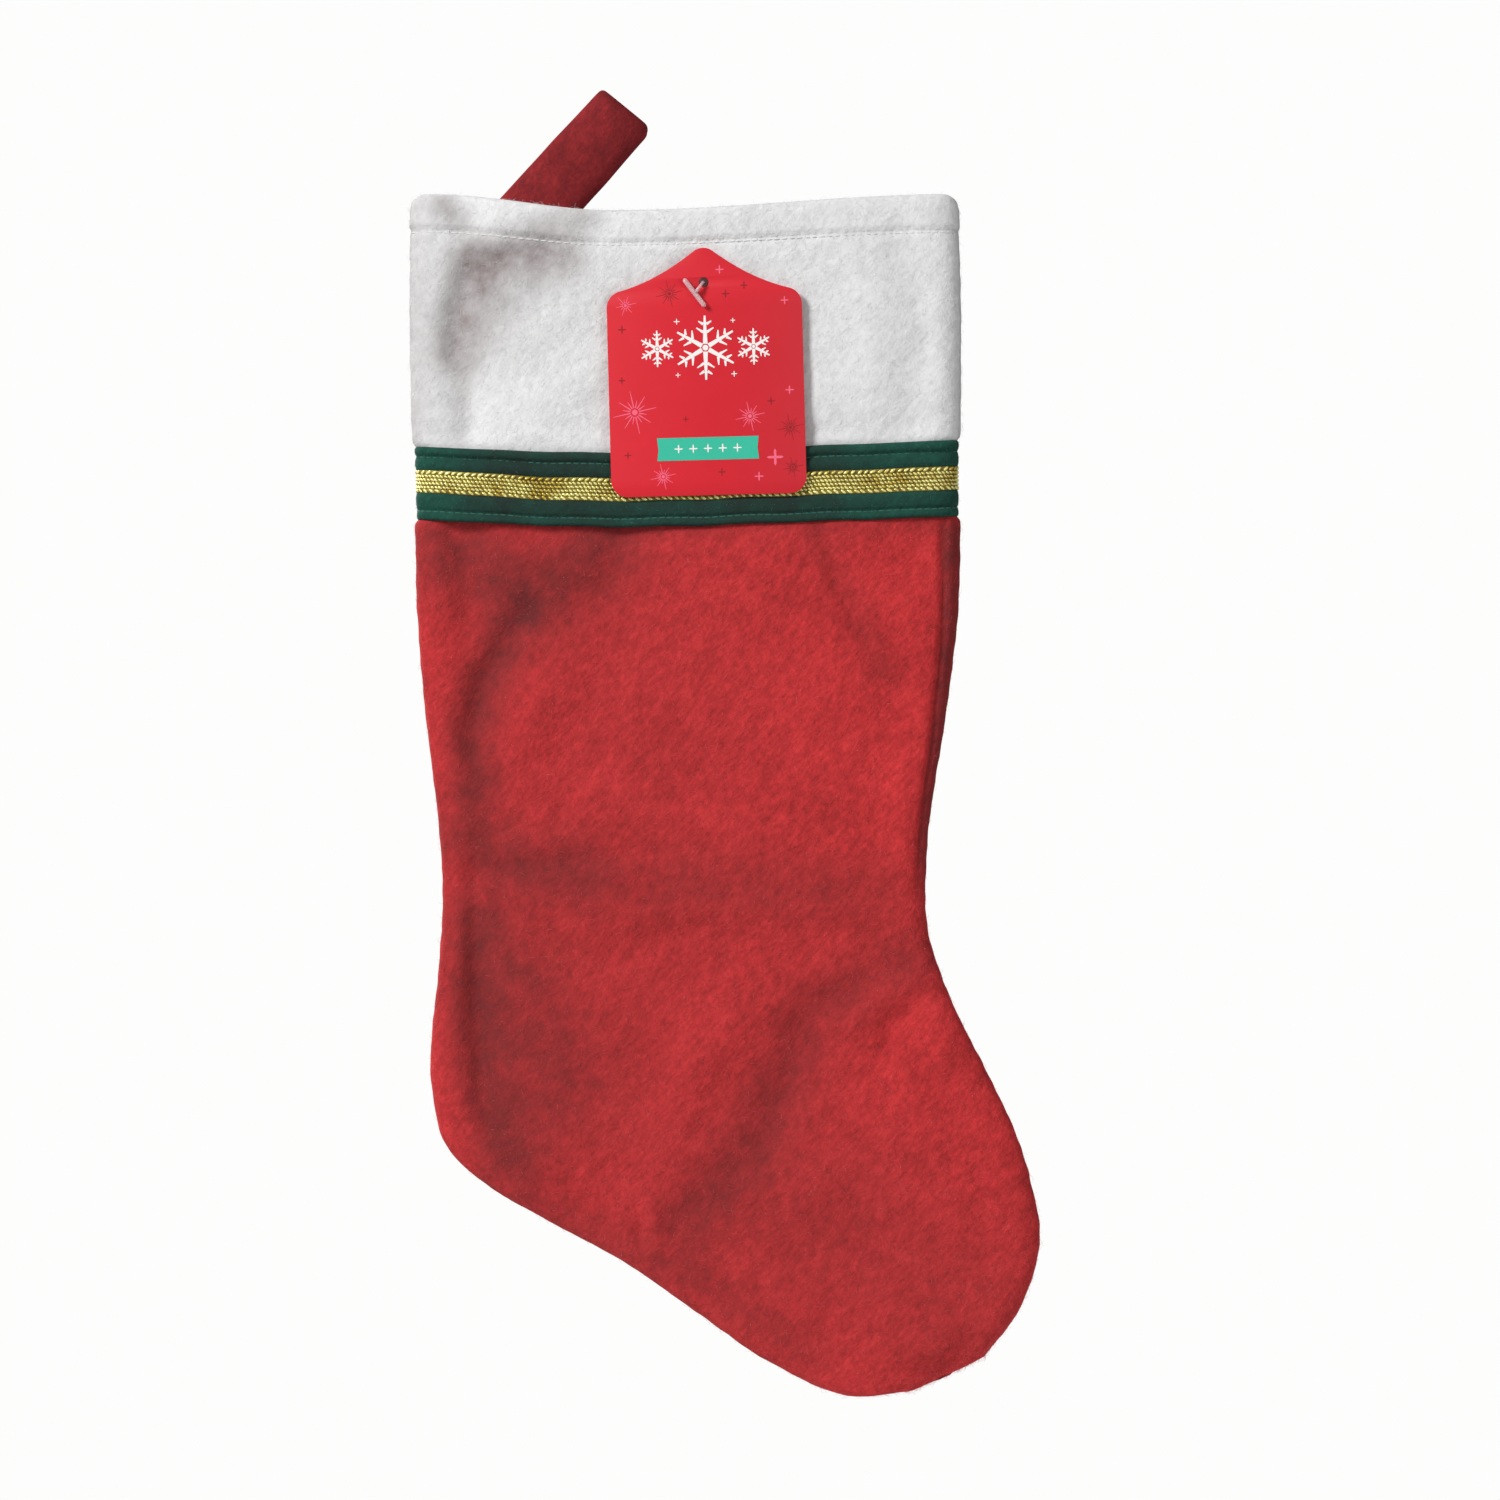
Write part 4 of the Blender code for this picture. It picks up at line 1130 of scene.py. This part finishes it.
def make_tag():
    make_card()
    pink = drawn(burst, PINK_BURSTS) + drawn(small_star, PINK_STARS)
    print_layer("tag_pink_print", pink, 0.03 * MM, PINK_PRINT)
    dark = drawn(burst, DARK_BURSTS) + drawn(small_star, DARK_STARS)
    print_layer("tag_dark_print", dark, 0.03 * MM, DARK_PRINT)
    white = drawn(snowflake, WHITE_FLAKES) + drawn(small_star, WHITE_STARS)
    print_layer("tag_white_print", white, 0.06 * MM, WHITE_PRINT)
    print_layer("tag_label", [metres(LABEL)], 0.08 * MM, MINT_PRINT)
    print_layer("tag_label_stars", drawn(small_star, LABEL_STARS), 0.13 * MM, WHITE_PRINT)


# The plastic barb --------------------

def tube_points(path, radii, sides):
    """Points and faces of a closed tube along a path, its width set at each point."""
    path = [Vector(point) for point in path]
    points, faces = [], []
    for index, centre in enumerate(path):
        ahead = path[min(index + 1, len(path) - 1)] - path[max(index - 1, 0)]
        turn = ahead.to_track_quat("Z", "Y")
        for side in range(sides):
            angle = 2 * math.pi * side / sides
            points.append(centre + turn @ Vector((math.cos(angle), math.sin(angle), 0))
                          * radii[index])
    for index in range(len(path) - 1):
        for side in range(sides):
            after = (side + 1) % sides
            base = index * sides
            faces.append((base + side, base + after, base + sides + after, base + sides + side))
    faces.append(tuple(range(sides))[::-1])
    faces.append(tuple(range((len(path) - 1) * sides, len(path) * sides)))
    return points, faces


def capsule_path(start, end, radius, steps):
    """A bar with round ends: points along it and the radius at each."""
    path, radii = [], []
    for step in range(steps + 1):
        share = step / steps
        path.append(start.lerp(end, share))
        near = min(share, 1 - share) * (end - start).length
        rounded = math.sqrt(max(0.06, 1 - (1 - min(1, near / radius)) ** 2))
        radii.append(radius * rounded)
    return path, radii


def make_barb():
    """The outer bar lies on the card, and its nylon goes through the hole to the felt."""
    head_low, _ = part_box("fastener_head")
    front = head_low.y + 0.95 * MM
    bar_top = Vector((head_low.x + 0.9 * MM, front, HOLE.z + 1.2 * MM))
    bar_foot = Vector((HOLE.x + 0.6 * MM, front, head_low.z + 0.9 * MM))
    path, radii = capsule_path(bar_top, bar_foot, 0.95 * MM, 24)
    bar = tube_points(path, radii, 12)
    middle = bar_top.lerp(bar_foot, 0.52)
    neck = [middle, middle.lerp(Vector((HOLE.x, front, HOLE.z)), 0.5) + Vector((0, -0.2, 0)) * MM,
            Vector((HOLE.x - 0.3 * MM, front + 0.3 * MM, HOLE.z)),
            Vector((HOLE.x, TAG_HIGH.y, HOLE.z))]
    stem = tube_points(neck, [0.85 * MM, 0.6 * MM, 0.5 * MM, 0.45 * MM], 10)
    add_mesh("tag_barb_bar", *joined([bar, stem]), CLEAR_PLASTIC, body="tag",
             slot="clear_plastic", replaces=["fastener_head"])
    inner_y = HOLE_HIGH.y - 0.6 * MM
    run = [(HOLE.x, inner_y + (TAG_HIGH.y - inner_y) * step / 24, HOLE.z) for step in range(25)]
    path, radii = capsule_path(Vector((HOLE_LOW.x, inner_y, HOLE.z)),
                               Vector((HOLE_HIGH.x, inner_y, HOLE.z)), 0.6 * MM, 14)
    parts = [tube_points(run, [0.4 * MM] * 25, 8), tube_points(path, radii, 10)]
    thread = add_mesh("tag_barb_thread", *joined(parts), CLEAR_PLASTIC, slot="clear_plastic",
                      replaces=["fastener_anchor"])
    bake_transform(thread)


# Floor, light and camera --------------------

FRAME_WIDTH = 0.5625                # what the camera sees across, at the stocking
VIEW_CENTRE = Vector((0.0486, 0, -0.2385))


def make_floor():
    bm = bmesh.new()
    bmesh.ops.create_cone(bm, cap_ends=True, segments=96, radius1=0.62, radius2=0.62,
                          depth=0.01)
    mesh = bpy.data.meshes.new("floor")
    bm.to_mesh(mesh)
    bm.free()
    floor = add_object("floor", mesh)
    floor.location = (VIEW_CENTRE.x, 0, -0.64)
    mesh.materials.append(floor_material())


def area_light(name, place, size, power):
    light = bpy.data.lights.new(name, "AREA")
    light.size = size
    light.energy = power
    obj = add_object(name, light)
    obj.location = VIEW_CENTRE + Vector(place)
    obj.rotation_euler = (-Vector(place)).to_track_quat("-Z", "Y").to_euler()
    obj.visible_camera = False


def make_world():
    """White to look at, dimmer as a light, so that the folds keep their shade."""
    world = bpy.data.worlds.new("studio")
    world.use_nodes = True
    bpy.context.scene.world = world
    tree = world.node_tree
    tree.nodes.clear()
    output, mix, path, seen, lighting = (
        tree.nodes.new("ShaderNode" + kind)
        for kind in ("OutputWorld", "MixShader", "LightPath", "Background", "Background"))
    for background, colour, strength in ((seen, (0.98, 0.985, 0.975, 1), 1.0),
                                         (lighting, (1, 1, 1, 1), 0.24)):
        background.inputs["Color"].default_value = colour
        background.inputs["Strength"].default_value = strength
    for start, end in ((path.outputs["Is Camera Ray"], mix.inputs["Fac"]),
                       (lighting.outputs[0], mix.inputs[1]), (seen.outputs[0], mix.inputs[2]),
                       (mix.outputs[0], output.inputs["Surface"])):
        tree.links.new(start, end)


def make_camera():
    camera = bpy.data.cameras.new("camera")
    camera.lens = 240
    camera.sensor_width = 36
    camera.clip_start = 0.05
    obj = add_object("camera", camera)
    distance = FRAME_WIDTH * camera.lens / camera.sensor_width
    obj.location = VIEW_CENTRE + Vector((0, -distance, 0))
    obj.rotation_euler = (math.pi / 2, 0, 0)
    bpy.context.scene.camera = obj


def make_studio():
    make_camera()
    make_world()
    make_floor()
    area_light("key_light", (-1.25, -1.15, 1.1), 0.5, 39)
    area_light("front_fill", (1.3, -1.5, 0.4), 1.2, 9)
    area_light("back_light", (-1.2, 1.5, 0.8), 0.8, 34)
    bpy.context.scene.view_settings.view_transform = "Standard"


# Everything --------------------

def make_stocking():
    fine, coarse = ((1.25 * MM, 1.7 * MM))
    for half, sign, spacing, leg_folds, cuff_folds, share in (
            ("front", -1, fine, LEG_FRONT_FOLDS, CUFF_FRONT_FOLDS, 1.0),
            ("back", 1, coarse, LEG_BACK_FOLDS, CUFF_BACK_FOLDS, 0.6)):
        leg = make_leg(half, sign, leg_folds, spacing)
        cuff = make_cuff(half, sign, cuff_folds, spacing)
        band = make_band(half, sign, spacing)
        make_braid(half, sign)
        make_fuzz(f"leg_{half}_fuzz", *leg, 5200 * share, RED_FIBRE, "red_felt", 51 + sign,
                  skip_rows=6)
        make_fuzz(f"cuff_{half}_fuzz", *cuff, 4200 * share, WHITE_FIBRE, "white_felt", 61 + sign)
        make_fuzz(f"trim_{half}_fuzz", *band, 900 * share, GREEN_FIBRE, "green_felt", 71 + sign,
                  (0.6, 1.6))
    make_seam_stitches()
    make_strap()
    make_tack_stitches()
    make_tag()
    make_barb()


make_studio()
make_stocking()
